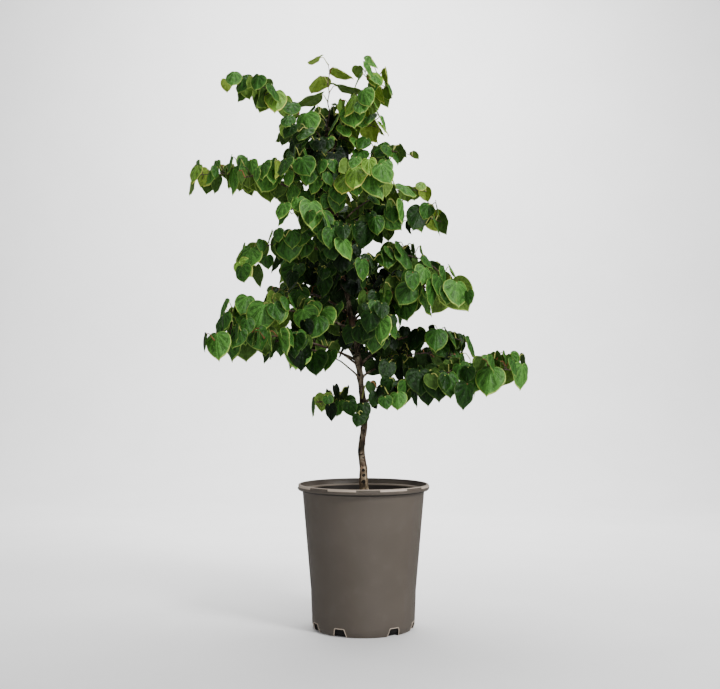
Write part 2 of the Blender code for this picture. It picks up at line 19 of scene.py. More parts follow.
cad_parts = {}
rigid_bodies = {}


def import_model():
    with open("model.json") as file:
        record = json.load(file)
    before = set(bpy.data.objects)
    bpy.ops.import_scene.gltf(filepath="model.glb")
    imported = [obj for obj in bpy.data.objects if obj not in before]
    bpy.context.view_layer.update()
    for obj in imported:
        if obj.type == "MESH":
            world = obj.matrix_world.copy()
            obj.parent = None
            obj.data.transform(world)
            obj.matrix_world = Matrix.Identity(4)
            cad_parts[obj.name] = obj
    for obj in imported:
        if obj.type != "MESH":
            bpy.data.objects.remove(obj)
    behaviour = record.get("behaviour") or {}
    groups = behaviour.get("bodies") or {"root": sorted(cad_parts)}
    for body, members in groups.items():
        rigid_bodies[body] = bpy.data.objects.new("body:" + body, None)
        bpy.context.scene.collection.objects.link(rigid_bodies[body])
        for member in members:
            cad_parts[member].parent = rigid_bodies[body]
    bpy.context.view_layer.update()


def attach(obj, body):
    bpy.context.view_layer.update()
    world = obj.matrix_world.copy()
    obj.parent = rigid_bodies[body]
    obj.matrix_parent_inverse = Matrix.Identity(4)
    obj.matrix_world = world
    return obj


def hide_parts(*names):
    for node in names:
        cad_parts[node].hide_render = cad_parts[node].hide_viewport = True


UP = Vector((0, 0, 1))

# Clearance between neighbouring pieces
GAP = 0.0003

# Pot: a turned shell with a rolled rim, a stacking ledge under it and notches to drain
POT_HEIGHT = 0.306
FOOT_RADIUS = 0.1045
HEEL_RADIUS = 0.1103
HEEL_HEIGHT = 0.012
WAIST_RADIUS = 0.113
WAIST_HEIGHT = 0.082
NECK_RADIUS = 0.1315
NECK_HEIGHT = 0.291
RIM_RADIUS = 0.1425
RIM_DEPTH = 0.013
LIP_WIDTH = 0.0065
LEDGE_RISE = 0.0038
WALL = 0.002
FLOOR = 0.003
NOTCH_ANGLES = (-148, -109, -70, -31, 31, 70, 109, 148)
NOTCH_TURN = 4
NOTCH_WIDTH = 0.030
NOTCH_HEIGHT = 0.0175
NOTCH_TAPER = 0.74
NOTCH_CORNER = 0.003
NOTCH_CUT = 0.030
NOTCH_BELOW = 0.010

# Soil: fills the pot to well under the rim
SOIL_TOP = 0.276

# Trunk: height, then its lean to the right and to the back at that height
TRUNK_SWAY = (
    (0.276, 0.001, 0.000),
    (0.335, 0.000, 0.002),
    (0.380, -0.0045, 0.004),
    (0.435, 0.002, 0.001),
    (0.487, -0.001, -0.003),
    (0.530, -0.0065, -0.005),
    (0.607, -0.0145, -0.002),
    (0.678, -0.0295, 0.004),
    (0.792, -0.0445, 0.008),
    (0.946, -0.0665, 0.004),
    (1.055, -0.0820, 0.000),
    (1.100, -0.0775, 0.002),
)
TRUNK_RADIUS = 0.0072
TRUNK_TIP_RADIUS = 0.0016
FLARE = 0.0016
FLARE_HEIGHT = 0.026
TRUNK_STEP = 0.036

# The leader's foot leans against the trunk's flat tip, so it stands this far above it
LEADER_CLEARANCE = 0.0009

# Limbs: an internode's length, its zigzag, and how thick a limb is for its length. A limb
# with a shorter bare length than BOUGH_FROM is all foliage.
NODE_STEP = 0.022
ZIGZAG = 9
LIMB_RADIUS = 0.0014
LIMB_RADIUS_PER_LENGTH = 0.005
LIMB_SHARE_OF_TRUNK = 0.6
BOUGH_FROM = 0.040
TWIG_RADIUS = 0.0013
TIP_RADIUS = 0.0008
TWIG_ANGLE = 48
SHORTEST_TWIG = 0.046

# Leaves: a blade's solid is as wide as it is long. High up the tree the leaves get smaller
# towards a limb's tip.
PETIOLE = 0.023
BLADE_THICKNESS = 0.0014
BLADE_WIDEST = 0.3
TIP_LEAF_SHRINK = 0.28
FULL_LEAVES_TO = 0.6
SMALL_TIPS_ABOVE = 0.84
LEAF_CLEARANCE = 0.0008
ROOT_BACK = 0.006
LEAF_TRIES = 16
LEAF_SHRINK = 0.015

# Each limb: where it leaves the trunk, its heading round the tree from +X, how steeply it
# rises at its foot and at its tip, its length, the length without leaves, its side twigs, the
# length of its leaves' blades, how far below level they hang, and its own random seed
Limb = namedtuple("Limb", "name height azimuth rise tip_rise length bare twigs blade hang seed")
LIMBS = (
    Limb("upper_left", 1.045, 191, 53, 10, 0.265, 0.045, 1, 0.061, 68, 6744),
    Limb("upper_right", 1.016, 333, 58, 48, 0.215, 0.040, 2, 0.056, 62, 4502),
    Limb("back_top", 0.997, 95, 64, 32, 0.195, 0.020, 1, 0.060, 60, 4321),
    Limb("front_left_top", 0.992, 217, 52, 20, 0.145, 0.020, 1, 0.054, 64, 6126),
    Limb("right_top", 0.969, 349, 52, -23, 0.200, 0.045, 2, 0.050, 50, 5124),
    Limb("back_left_top", 0.947, 132, 52, 32, 0.230, 0.020, 1, 0.052, 51, 5517),
    Limb("front_left_high", 0.901, 221, 57, 0, 0.175, 0.020, 1, 0.062, 75, 4107),
    Limb("left_high", 0.890, 176, 40, -6, 0.335, 0.045, 2, 0.066, 78, 4108),
    Limb("front_high", 0.902, 302, 50, 1, 0.170, 0.020, 1, 0.071, 71, 4809),
    Limb("right_high", 0.864, 14, 55, -7, 0.235, 0.045, 1, 0.057, 53, 4810),
    Limb("back_high", 0.812, 67, 53, 4, 0.290, 0.045, 1, 0.058, 44, 7815),
    Limb("front_left_mid", 0.814, 236, 40, 11, 0.175, 0.020, 1, 0.067, 71, 7001),
    Limb("right_mid", 0.795, 353, 64, -24, 0.255, 0.050, 1, 0.071, 76, 4145),
    Limb("left_mid", 0.761, 190, 58, -51, 0.275, 0.050, 2, 0.068, 77, 4834),
    Limb("back_left_mid", 0.723, 116, 34, -7, 0.330, 0.050, 1, 0.064, 71, 6200),
    Limb("front_mid", 0.718, 259, 48, 22, 0.160, 0.020, 1, 0.064, 79, 4737),
    Limb("right_arch", 0.710, 11, 78, -70, 0.320, 0.055, 1, 0.068, 67, 5632),
    Limb("left_broad", 0.634, 180, 32, -22, 0.295, 0.055, 2, 0.075, 74, 7529),
    Limb("back_left_low", 0.670, 138, 35, -4, 0.270, 0.045, 1, 0.058, 62, 4119),
    Limb("right_broad", 0.657, 341, 43, -18, 0.280, 0.055, 2, 0.077, 75, 7372),
    Limb("back_right_low", 0.651, 59, 56, 5, 0.280, 0.050, 1, 0.057, 52, 7844),
    Limb("front_low", 0.601, 291, 33, -5, 0.175, 0.020, 0, 0.061, 73, 5555),
    Limb("left_low", 0.570, 199, 26, -9, 0.325, 0.060, 2, 0.076, 80, 4173),
    Limb("back_low", 0.563, 104, 32, 18, 0.325, 0.050, 1, 0.059, 61, 4998),
    Limb("right_low", 0.559, 10, 49, -23, 0.265, 0.055, 3, 0.062, 61, 4625),
    Limb("front_left_low", 0.529, 206, 49, 1, 0.165, 0.080, 0, 0.070, 67, 4426),
    Limb("back_left_foot", 0.560, 160, 39, -2, 0.215, 0.080, 1, 0.058, 64, 7217),
    Limb("right_long", 0.480, 355, 30, -7, 0.355, 0.045, 4, 0.074, 80, 4893),
    Limb("back_right_foot", 0.532, 30, 35, -11, 0.270, 0.045, 2, 0.062, 69, 4329),
    Limb("front_right_foot", 0.476, 328, 20, 5, 0.090, 0.020, 0, 0.054, 85, 8907),
    Limb("left_foot", 0.461, 207, 21, 0, 0.120, 0.025, 2, 0.054, 85, 6799),
)
LEADER = Limb("leader", 1.100, 180, 88, 92, 0.126, 0, 0, 0.068, 18, 6086)

# The growth rule: where every limb, twig and leaf of the tree lies

Stem = namedtuple("Stem", "points radii")
Leaf = namedtuple("Leaf", "root base tip side face length node")


def heading(azimuth, pitch):
    """The unit vector at this azimuth and rise, in degrees."""
    a, p = math.radians(azimuth), math.radians(pitch)
    return Vector((math.cos(a) * math.cos(p), math.sin(a) * math.cos(p), math.sin(p)))


def level_side(direction):
    """The level unit vector to the left of a direction, or +X where that stands upright."""
    side = UP.cross(direction)
    return side.normalized() if side.length > 0.2 else Vector((1, 0, 0))


def trunk_point(height):
    """The trunk's middle at this height, on a smooth curve through its sway."""
    rows = TRUNK_SWAY
    last = len(rows) - 2
    index = max(i for i in range(last + 1) if rows[i][0] <= height or i == 0)
    before, here = rows[max(index - 1, 0)], rows[index]
    after, beyond = rows[index + 1], rows[min(index + 2, last + 1)]
    t = (height - here[0]) / (after[0] - here[0])
    offset = []
    for axis in (1, 2):
        slope_in = (after[axis] - before[axis]) / (after[0] - before[0])
        slope_out = (beyond[axis] - here[axis]) / (beyond[0] - here[0])
        span = after[0] - here[0]
        offset.append(
            (2 * t**3 - 3 * t**2 + 1) * here[axis]
            + (t**3 - 2 * t**2 + t) * slope_in * span
            + (3 * t**2 - 2 * t**3) * after[axis]
            + (t**3 - t**2) * slope_out * span
        )
    return Vector((offset[0], offset[1], height))


def trunk_radius(height):
    """The trunk tapers evenly from the soil to its tip, with a flare at its root."""
    foot, top = TRUNK_SWAY[0][0], TRUNK_SWAY[-1][0]
    share = (height - foot) / (top - foot)
    even = TRUNK_RADIUS + (TRUNK_TIP_RADIUS - TRUNK_RADIUS) * share
    return even + FLARE * math.exp(-(height - foot) / FLARE_HEIGHT)


def walk(start, azimuth, rise, tip_rise, length):
    """Points of a zigzag stem, one to each node, that bends evenly from one rise to another."""
    count = max(2, round(length / NODE_STEP))
    points = [start]
    for index in range(count):
        along = heading(azimuth, rise + (tip_rise - rise) * (index + 0.5) / count)
        turn = math.tan(math.radians(ZIGZAG)) * (-1) ** index
        along = (along + level_side(along) * turn).normalized()
        points.append(points[-1] + along * (length / count))
    return points


def parted(points, distance):
    """A line cut in two at this distance along it: the points before and those after."""
    run = 0.0
    for index in range(1, len(points)):
        step = (points[index] - points[index - 1]).length
        if run + step > distance:
            cut = points[index - 1].lerp(points[index], (distance - run) / step)
            return points[:index] + [cut], [cut] + points[index:]
        run += step
    return points, [points[-1]]


def tapered(points, first, last):
    """A stem through the points, whose radius runs evenly from the first to the last."""
    steps = [(b - a).length for a, b in zip(points, points[1:])]
    whole = sum(steps)
    radii = [first + (last - first) * sum(steps[:i]) / whole for i in range(len(points))]
    return Stem(points, radii)


def outward(node, otherwise):
    """The level direction from the trunk to a node that stands clear of its axis."""
    middle = trunk_point(min(node.z, TRUNK_SWAY[-1][0]))
    out = Vector((node.x - middle.x, node.y - middle.y, 0))
    return out.normalized() if out.length > TRUNK_RADIUS else otherwise


def leaf_at(node, along, rank, limb, share, size, rng):
    """One leaf: its petiole leaves the node sideways and up, and the blade hangs from it."""
    side = level_side(along) * rank
    out = outward(node, side)
    stalk = side * 0.8 + along * rng.uniform(0.0, 0.6) + UP * rng.uniform(0.2, 0.9)
    stalk = stalk.normalized() * PETIOLE * rng.uniform(0.7, 1.1)
    turn = Vector((rng.uniform(-0.4, 0.4), rng.uniform(-0.4, 0.4), 0))
    level = side * rng.uniform(0.5, 0.9) + out * rng.uniform(0.3, 0.7) + turn
    level = Vector((level.x, level.y, 0)).normalized()
    hang = math.radians(limb.hang + rng.uniform(-14, 14))
    face = level * math.sin(hang) + UP * math.cos(hang)
    down = level * math.cos(hang) - UP * math.sin(hang)
    down = Matrix.Rotation(math.radians(rng.gauss(0, 16)), 3, face) @ down
    near_tip = max(0.0, share - FULL_LEAVES_TO) / (1 - FULL_LEAVES_TO)
    if limb.height < SMALL_TIPS_ABOVE:
        near_tip = 0.0
    length = limb.blade * size * rng.uniform(0.88, 1.14) * (1 - TIP_LEAF_SHRINK * near_tip)
    base = node + stalk
    root = node - along * ROOT_BACK
    return Leaf(root, base, base + down * length, down.cross(face), face, length, node)


def leaf_corners(leaf, swell=0.0):
    """The six corners of a leaf's solid: root, both flanks, tip, and its top and bottom."""
    reach = leaf.tip - leaf.base
    middle = leaf.base + reach * BLADE_WIDEST
    half = leaf.side * (leaf.length * 0.5 + swell)
    thick = leaf.face * (BLADE_THICKNESS / 2 + swell)
    sunk = (leaf.root - middle).normalized() * TWIG_RADIUS
    return (
        leaf.root + sunk,
        middle - half,
        leaf.tip + reach.normalized() * swell,
        middle + half,
        middle + thick,
        middle - thick,
    )


def folded_back(leaf):
    """Whether the stalk would run behind the blade, past its widest part."""
    reach = leaf.tip - leaf.base
    return (leaf.base + reach * BLADE_WIDEST - leaf.root).dot(reach) < 0


LEAF_FACES = (
    (0, 4, 1), (1, 4, 2), (2, 4, 3), (3, 4, 0),
    (1, 5, 0), (2, 5, 1), (3, 5, 2), (0, 5, 3),
)


class Room:
    """What already fills the space round the tree, so that nothing new grows into it."""

    def __init__(self):
        self.filled = []

    def add(self, corners, faces, owner):
        low = [min(c[i] for c in corners) for i in range(3)]
        high = [max(c[i] for c in corners) for i in range(3)]
        tree = BVHTree.FromPolygons(corners, faces)
        self.filled.append((low, high, tree, owner))

    def hits(self, corners, faces, passing=()):
        """Whether these faces meet anything but what belongs to the owners in passing."""
        low = [min(c[i] for c in corners) for i in range(3)]
        high = [max(c[i] for c in corners) for i in range(3)]
        tree = None
        for other_low, other_high, other, owner in self.filled:
            if owner in passing or any(
                low[i] > other_high[i] or high[i] < other_low[i] for i in range(3)
            ):
                continue
            tree = tree or BVHTree.FromPolygons(corners, faces)
            if tree.overlap(other):
                return True
        return False


def sleeve(start, end, radius):
    """Corners and faces of a square tube round a straight stretch of stem."""
    along = (end - start).normalized()
    one = along.orthogonal().normalized()
    two = along.cross(one)
    reach = radius * math.sqrt(2)
    corners = [p + r * reach for p in (start, end) for r in (one, two, -one, -two)]
    faces = [(i, (i + 1) % 4, (i + 1) % 4 + 4, i + 4) for i in range(4)]
    return corners, faces + [(3, 2, 1, 0), (4, 5, 6, 7)]


def add_stem(room, stem, owner):
    for index in range(len(stem.points) - 1):
        radius = max(stem.radii[index : index + 2]) + LEAF_CLEARANCE
        corners, faces = sleeve(stem.points[index], stem.points[index + 1], radius)
        room.add(corners, faces, (owner, index))


def leafed(room, stem, owner, limb, first_rank, rng, start=1):
    """Leaves at the nodes of a stem, alternately to each side, and one at its tip."""
    leaves = []
    last = len(stem.points) - 1
    for index in range(start, last + 1):
        rank = first_rank * (-1) ** index
        back = stem.points[index - 1]
        along = (stem.points[index] - back).normalized()
        own = {(owner, i) for i in (index - 1, index)}
        for attempt in range(LEAF_TRIES):
            size = 1 - LEAF_SHRINK * attempt
            leaf = leaf_at(stem.points[index], along, rank, limb, index / last, size, rng)
            corners = leaf_corners(leaf, LEAF_CLEARANCE)
            if not folded_back(leaf) and not room.hits(corners, LEAF_FACES, own):
                room.add(corners, LEAF_FACES, (owner, "leaf"))
                leaves.append(leaf)
                break
    return leaves


def limb_radius(limb):
    """How thick a limb is at the trunk: by its length, but thinner than the trunk there."""
    by_length = LIMB_RADIUS + LIMB_RADIUS_PER_LENGTH * limb.length
    return min(by_length, LIMB_SHARE_OF_TRUNK * trunk_radius(limb.height))


def limb_lines(limb):
    """A limb's line from the trunk, cut in mid internode near its bare length's end."""
    foot = trunk_point(limb.height)
    line = walk(foot, limb.azimuth, limb.rise, limb.tip_rise, limb.length)
    internode = (line[1] - line[0]).length
    return parted(line, (round(limb.bare / internode - 0.5) + 0.5) * internode)


def trunk_stem():
    """The trunk's own line from the soil to its tip."""
    foot, top = TRUNK_SWAY[0][0], TRUNK_SWAY[-1][0]
    count = round((top - foot) / TRUNK_STEP)
    heights = [foot + (top - foot) * i / count for i in range(count + 1)]
    return Stem([trunk_point(h) for h in heights], [trunk_radius(h) for h in heights])


def bough_and_stem(limb):
    """A limb's bough and the stem of its mass, a gap beyond it.

    A short limb has no bough: its mass's stem runs from the trunk's middle.
    """
    before, after = limb_lines(limb)
    thick = limb_radius(limb)
    if limb.bare < BOUGH_FROM:
        return None, tapered([before[0]] + after[1:], thick, TIP_RADIUS)
    joint = thick + (TIP_RADIUS - thick) * limb.bare / limb.length
    after[0] = after[0] + (after[1] - after[0]).normalized() * GAP
    return tapered(before, thick, joint), tapered(after, joint, TIP_RADIUS)


def leader_stem():
    """The young shoot that carries on above the trunk's tip."""
    foot = trunk_point(LEADER.height)
    line = walk(foot, LEADER.azimuth, LEADER.rise, LEADER.tip_rise, LEADER.length)
    line[0] = line[0] + (line[1] - line[0]).normalized() * LEADER_CLEARANCE
    return tapered(line, TRUNK_TIP_RADIUS, TIP_RADIUS)


def side_twig(stem, limb, index, rng):
    """One of a limb's side twigs: these leave its stem to each side in turn."""
    share = 0.15 + 0.6 * (index + rng.uniform(0.2, 0.8)) / limb.twigs
    at = max(1, min(len(stem.points) - 2, round(share * (len(stem.points) - 1))))
    along = stem.points[at] - stem.points[at - 1]
    turn = TWIG_ANGLE * (-1) ** index * rng.uniform(0.8, 1.2)
    azimuth = math.degrees(math.atan2(along.y, along.x)) + turn
    reach = max(SHORTEST_TWIG, limb.length * (1 - share) * rng.uniform(0.35, 0.55))
    line = walk(stem.points[at], azimuth, rng.uniform(-5, 25), rng.uniform(-25, 5), reach)
    return tapered(line, TWIG_RADIUS, TIP_RADIUS)


def blocked(room, twig):
    """Whether a twig beyond its first internode would meet anything."""
    pairs = zip(twig.points[1:], twig.points[2:])
    return any(room.hits(*sleeve(a, b, TWIG_RADIUS + GAP)) for a, b in pairs)


def grow():
    """The trunk, the boughs, and each mass's stems and leaves, by limb name."""
    room = Room()
    trunk = trunk_stem()
    add_stem(room, trunk, "trunk")
    boughs, stems = {}, {LEADER.name: leader_stem()}
    for limb in LIMBS:
        bough, stems[limb.name] = bough_and_stem(limb)
        if bough:
            boughs[limb.name] = bough
            add_stem(room, bough, limb.name + " bough")
    for name, stem in stems.items():
        add_stem(room, stem, name)

    masses = {}
    for limb in (LEADER, *LIMBS):
        rng = random.Random(limb.seed)
        stem = stems[limb.name]
        twigs, leaves = [stem], []
        for index in range(limb.twigs):
            twig = side_twig(stem, limb, index, rng)
            if blocked(room, twig):
                continue
            owner = f"{limb.name} twig {index}"
            add_stem(room, twig, owner)
            twigs.append(twig)
            leaves += leafed(room, twig, owner, limb, 1, rng)
        leaves += leafed(room, stem, limb.name, limb, -1, rng)
        masses[limb.name] = (twigs, leaves)
    return trunk, boughs, masses


# Finer growth: shoots with smaller leaves, which only scene.py has

SHOOTS_PER_NODE = (0.3, 2.9)
BLADE_SHARE = (0.48, 0.80)
BLADE_SPREAD = (0.75, 1.30)
LARGEST_BLADE = 0.86
LOST_LEAVES = (0.42, 0.08)
SHOOT_LENGTH = (0.014, 0.036)
SHOOT_RADII = (0.0010, 0.0009, 0.0007)
FINE_LEAF_SIZE = (0.42, 0.74)
FINE_TRIES = 5
TRUNK_SHOOTS = (8, 36)
TRUNK_SHOOTS_FROM = 0.68
TRUNK_SHOOTS_SEED = 2
LOOK_SEED = 77

# A leaf's outline as shares of its length: half of a heart, from the notch to the tip
HALF_HEART = (
    (0.02, -0.01), (0.09, -0.065), (0.215, -0.10), (0.355, -0.07), (0.46, 0.035),
    (0.515, 0.185), (0.515, 0.345), (0.465, 0.505), (0.37, 0.65), (0.25, 0.775),
    (0.13, 0.87), (0.045, 0.94), (0.0, 1.0),
)
HALF_POINTS = 18
UPPER_RINGS = (0.12, 0.28, 0.46, 0.64, 0.81, 0.95)
UNDER_RINGS = (0.45, 0.95)
BLADE_THICK = 0.007
VEIN_OFFSETS = (0, 5, 9, 13)
VEIN_RINGS = (0.0, 0.12, 0.28, 0.46, 0.64, 0.81)
SMALL_LEAF = 0.038
SMALL_RINGS = (0.20, 0.45, 0.72, 0.95)
SMALL_VEIN_RINGS = (0.0, 0.20, 0.45, 0.72)
VEIN_WIDTH = (0.010, 0.003)
VEIN_LIFT = 0.0024
RIBS = 0.009
SHAPES = 8

# How light each limb's leaves are, from 0 for the darkest green to 1 for yellow-green, partly
# the leaves' own green and partly painted shade where a limb's leaves sit in shade; the seed
# of its finer growth and the seed of its leaves' sizes
LOOKS = {
    "leader": (0.80, 74, 0), "upper_left": (0.52, 79, 516), "upper_right": (0.70, 6, 403),
    "back_top": (0.31, 6, 543), "front_left_top": (0.34, 60, 245), "right_top": (0.46, 31, 464),
    "back_left_top": (0.32, 73, 383), "front_left_high": (0.56, 6, 328), "left_high": (0.58, 34, 187),
    "front_high": (0.77, 37, 587), "right_high": (0.53, 39, 383), "back_high": (0.28, 22, 225),
    "front_left_mid": (0.55, 2, 230), "right_mid": (0.50, 33, 321), "left_mid": (0.59, 13, 230),
    "back_left_mid": (0.32, 26, 237), "front_mid": (0.39, 62, 245), "right_arch": (0.52, 60, 403),
    "left_broad": (0.68, 2, 57), "back_left_low": (0.34, 45, 493), "right_broad": (0.60, 62, 403),
    "back_right_low": (0.32, 62, 57), "front_low": (0.40, 62, 493), "left_low": (0.49, 52, 380),
    "back_low": (0.32, 68, 350), "right_low": (0.32, 57, 57), "front_left_low": (0.56, 59, 531),
    "back_left_foot": (0.32, 51, 379), "right_long": (0.46, 23, 22), "back_right_foot": (0.37, 62, 587),
    "front_right_foot": (0.39, 35, 472), "left_foot": (0.39, 33, 231),
}
# Leaf tones: a name, the lightness a leaf must stay below to take it, and its green. They are partly the leaves' own
# greens and partly painted light and shade: leaves in shade take the darker tones, lit ones the lighter.
TONES = (
    ("deep", 0.24, (0.0022, 0.0105, 0.0010)),
    ("dark", 0.40, (0.0078, 0.0320, 0.0032)),
    ("mid", 0.62, (0.0285, 0.0940, 0.0130)),
    ("light", 0.88, (0.0620, 0.1780, 0.0270)),
    ("fresh", 9.0, (0.1500, 0.3000, 0.0380)),
)
# Painted light and shade on the leaves: lighter towards the foliage's outside, darker inside it, and a little darker
# on the fine leaves
OUTER_PAINTED_LIGHT = 0.26
FINE_PAINTED_SHADE = 0.07
TONE_SPREAD = 0.10
TIP_GAIN = 0.24

# The undersides and the thin edges of the leaves of each tone, lighter and darker with its
# painted light and shade. The lighter tones' undersides are also painted lighter for the light
# that shines through them
BACKS = {
    "deep": (0.008, 0.024, 0.004),
    "dark": (0.018, 0.048, 0.008),
    "mid": (0.046, 0.100, 0.016),
    "light": (0.092, 0.170, 0.025),
    "fresh": (0.190, 0.290, 0.036),
}
EDGES = {
    "deep": (0.012, 0.024, 0.003),
    "dark": (0.040, 0.080, 0.014),
    "mid": (0.130, 0.215, 0.036),
    "light": (0.270, 0.400, 0.070),
    "fresh": (0.520, 0.540, 0.100),
}
LEAF_PARTS = ("leaf_faces", "leaf_backs", "leaf_edges", "leaf_veins")
LEAF_ROUGHNESS = (0.42, 0.65, 0.5, 0.45)
VEIN_GAIN = 1.9
# Painted shade beside the veins: how much darker the faces there are
VALLEY_PAINTED_SHADE = 0.55

PETIOLE_ARCH = 0.28
PETIOLE_RADII = (0.0013, 0.0011, 0.0010, 0.0011, 0.0018)
RED_PETIOLES = 0.12
TRUNK_KNOTS = 60
KNOT_HEIGHT = 0.0016

# Scars of old buds on the trunk: height, the way they face and their size
SCARS = (
    (0.311, 270, 0.0042), (0.3245, 272, 0.0036), (0.335, 270, 0.0036), (0.379, 222, 0.0036),
    (0.405, 226, 0.0026), (0.416, 330, 0.0024), (0.443, 336, 0.0026), (0.362, 300, 0.0020),
    (0.470, 215, 0.0024), (0.540, 262, 0.0024), (0.592, 300, 0.0022), (0.640, 240, 0.0024),
)
SCAR_DEPTH = 0.0009

# Roots that show at the soil: the way they face, their size and how proud they stand
ROOTS = ((338, 0.0090, 0.0060), (200, 0.0080, 0.0030), (80, 0.0090, 0.0040), (140, 0.0080, 0.0025))
BARK_THICK = 0.0009
FOOT_THICK = 0.0014

# A green sprout that stands on the trunk, in front and to its right
SPROUT = Stem(
    [Vector((-0.0035, -0.0080, 0.486)), Vector((-0.0005, -0.0120, 0.503)), Vector((0.0040, -0.0150, 0.519))],
    [0.0017, 0.0014, 0.0017],
)
PALE_FOOT = 2.7
PALE_BELOW = 0.343
POT_SEGMENTS = 288
PANEL_TURN = 4
PANEL_HALF = 10
PANEL_DEPTH = 0.0020
RIM_TUCK = (0.0052, 0.0070)
RIM_BEVEL = 0.0042
RIM_SLOPE = 0.0042
# Painted highlight on the rim: how far down the lip's top is painted lighter, and how much
LIP_HIGHLIGHT_DEPTH = 0.0048
LIP_HIGHLIGHT_GAIN = 5.0
# Painted shade under the rim and on the inner wall: how dark, and how far from the rim's underside
PAINTED_SHADE_GAIN = 0.30
UNDER_RIM_SHADE_REACH = 0.0020
# Painted highlight on the inner ledge: how much lighter
LEDGE_HIGHLIGHT_GAIN = 2.4
BEAD_RADIUS = 0.0009
WALL_ROWS = 12
CHIPS = 1500

LEAVES_TOP = 1.22
LEAVES_REACH = 0.34

Look = namedtuple("Look", "leaf tone")


def leaf_reach(height):
    """Roughly how far the foliage reaches from the trunk at this height."""
    left = max(0.0, LEAVES_TOP - height) / (LEAVES_TOP - TRUNK_SWAY[0][0])
    return LEAVES_REACH * min(1.0, 0.1 + 1.3 * left)


def outness(leaf):
    """How far out in the foliage a leaf hangs, from 0 at the trunk to 1 at the outside."""
    middle = trunk_point(min(leaf.base.z, TRUNK_SWAY[-1][0]))
    away = math.hypot(leaf.base.x - middle.x, leaf.base.y - middle.y)
    return min(1.0, away / leaf_reach(leaf.base.z))


def tone_of(leaf, limb, rng, gain=0.0):
    """The tone a leaf takes: lighter on a light limb, and painted lighter at the foliage's outside and darker inside
    it, for the light and shade there.
    """
    light = LOOKS[limb.name][0] + OUTER_PAINTED_LIGHT * (outness(leaf) - 0.5) + gain
    light += rng.gauss(0, TONE_SPREAD)
    return next(name for name, below, _ in TONES if light < below)


def heart_sheet(leaf):
    """A flat heart in a leaf's place, as corners and faces, to test whether leaves cross."""
    down, side = leaf.tip - leaf.base, leaf.side * leaf.length
    half = HALF_HEART[1:-1:2]
    outline = [*half, (0, 1)] + [(-x, y) for x, y in reversed(half)]
    corners = [leaf.base] + [leaf.base + down * y + side * x for x, y in outline]
    return corners, [(0, i, i + 1) for i in range(1, len(corners) - 1)]


def is_lost(leaf, rng):
    """Whether a leaf is missing, by chance: more are near the trunk, where the light is poor."""
    inner, outer = LOST_LEAVES
    return rng.random() < inner + (outer - inner) * outness(leaf)


def resized(leaf, share):
    """The leaf with a smaller blade."""
    tip = leaf.base + (leaf.tip - leaf.base) * share
    return leaf._replace(tip=tip, length=leaf.length * share)


def true_blades(limb, leaves):
    """A limb's leaves at their true sizes, as each solid stands for a leaf and its neighbours.

    Some are lost. The leader keeps all of its leaves.
    """
    if limb is LEADER:
        return [resized(leaf, LARGEST_BLADE) for leaf in leaves]
    rng = random.Random(LOOKS[limb.name][2])
    kept = []
    for leaf in leaves:
        share = BLADE_SHARE[0] + (BLADE_SHARE[1] - BLADE_SHARE[0]) * outness(leaf)
        share = min(LARGEST_BLADE, share * rng.uniform(*BLADE_SPREAD))
        if not is_lost(leaf, rng):
            kept.append(resized(leaf, share))
    return kept


def fine_leaf(room, node, along, rank, limb, rng):
    """A smaller leaf at a fine shoot's end, or None where there is no room for it."""
    for _ in range(FINE_TRIES):
        leaf = leaf_at(node, along, rank, limb, 0, rng.uniform(*FINE_LEAF_SIZE), rng)
        corners, faces = heart_sheet(leaf)
        if not room.hits(corners, faces):
            if is_lost(leaf, rng):
                return None
            room.add(corners, faces, "leaf")
            return leaf
    return None


def shoot_from(room, start, azimuth, limb, rng):
    """A short shoot with up to two leaves, as its stem and its leaves, or None."""
    way = heading(azimuth, rng.uniform(-35, 65))
    end = start + way * rng.uniform(*SHOOT_LENGTH)
    middle = start.lerp(end, 0.5) + level_side(way) * rng.uniform(-0.002, 0.002)
    leaves = [fine_leaf(room, end, way, rank, limb, rng) for rank in (-1, 1)]
    leaves = [leaf for leaf in leaves if leaf]
    return (Stem([start, middle, end], SHOOT_RADII), leaves) if leaves else None


def limb_shoots(room, limb, stems, rng):
    """Fine shoots along a limb's stems, more or fewer of them by chance."""
    shoots = []
    often = rng.uniform(*SHOOTS_PER_NODE)
    for stem in stems:
        for index in range(1, len(stem.points) - 1):
            for _ in range(int(often + rng.random())):
                along = stem.points[index + 1] - stem.points[index]
                start = stem.points[index] + along * rng.random()
                turn = rng.choice((-1, 1)) * rng.uniform(35, 115)
                azimuth = math.degrees(math.atan2(along.y, along.x)) + turn
                shoots.append(shoot_from(room, start, azimuth, limb, rng))
    return [shoot for shoot in shoots if shoot]


def trunk_shoots(room, rng):
    """Fine shoots straight from the trunk, each with the limb it is nearest to."""
    shoots = []
    for _ in range(rng.randint(*TRUNK_SHOOTS)):
        start = trunk_point(rng.uniform(TRUNK_SHOOTS_FROM, TRUNK_SWAY[-1][0] - 0.02))
        limb = min(LIMBS, key=lambda one: abs(one.height - start.z))
        shoot = shoot_from(room, start, rng.uniform(0, 360), limb, rng)
        if shoot:
            shoots.append((limb, *shoot))
    return shoots


def filled_room(trunk, boughs, masses):
    """The space with the limbs and the leaves at their true sizes in it."""
    room = Room()
    add_stem(room, trunk, "trunk")
    for stem in boughs.values():
        add_stem(room, stem, "bough")
    for stems, leaves in masses.values():
        for stem in stems:
            add_stem(room, stem, "twig")
        for leaf in leaves:
            room.add(*heart_sheet(leaf), "leaf")
    return room


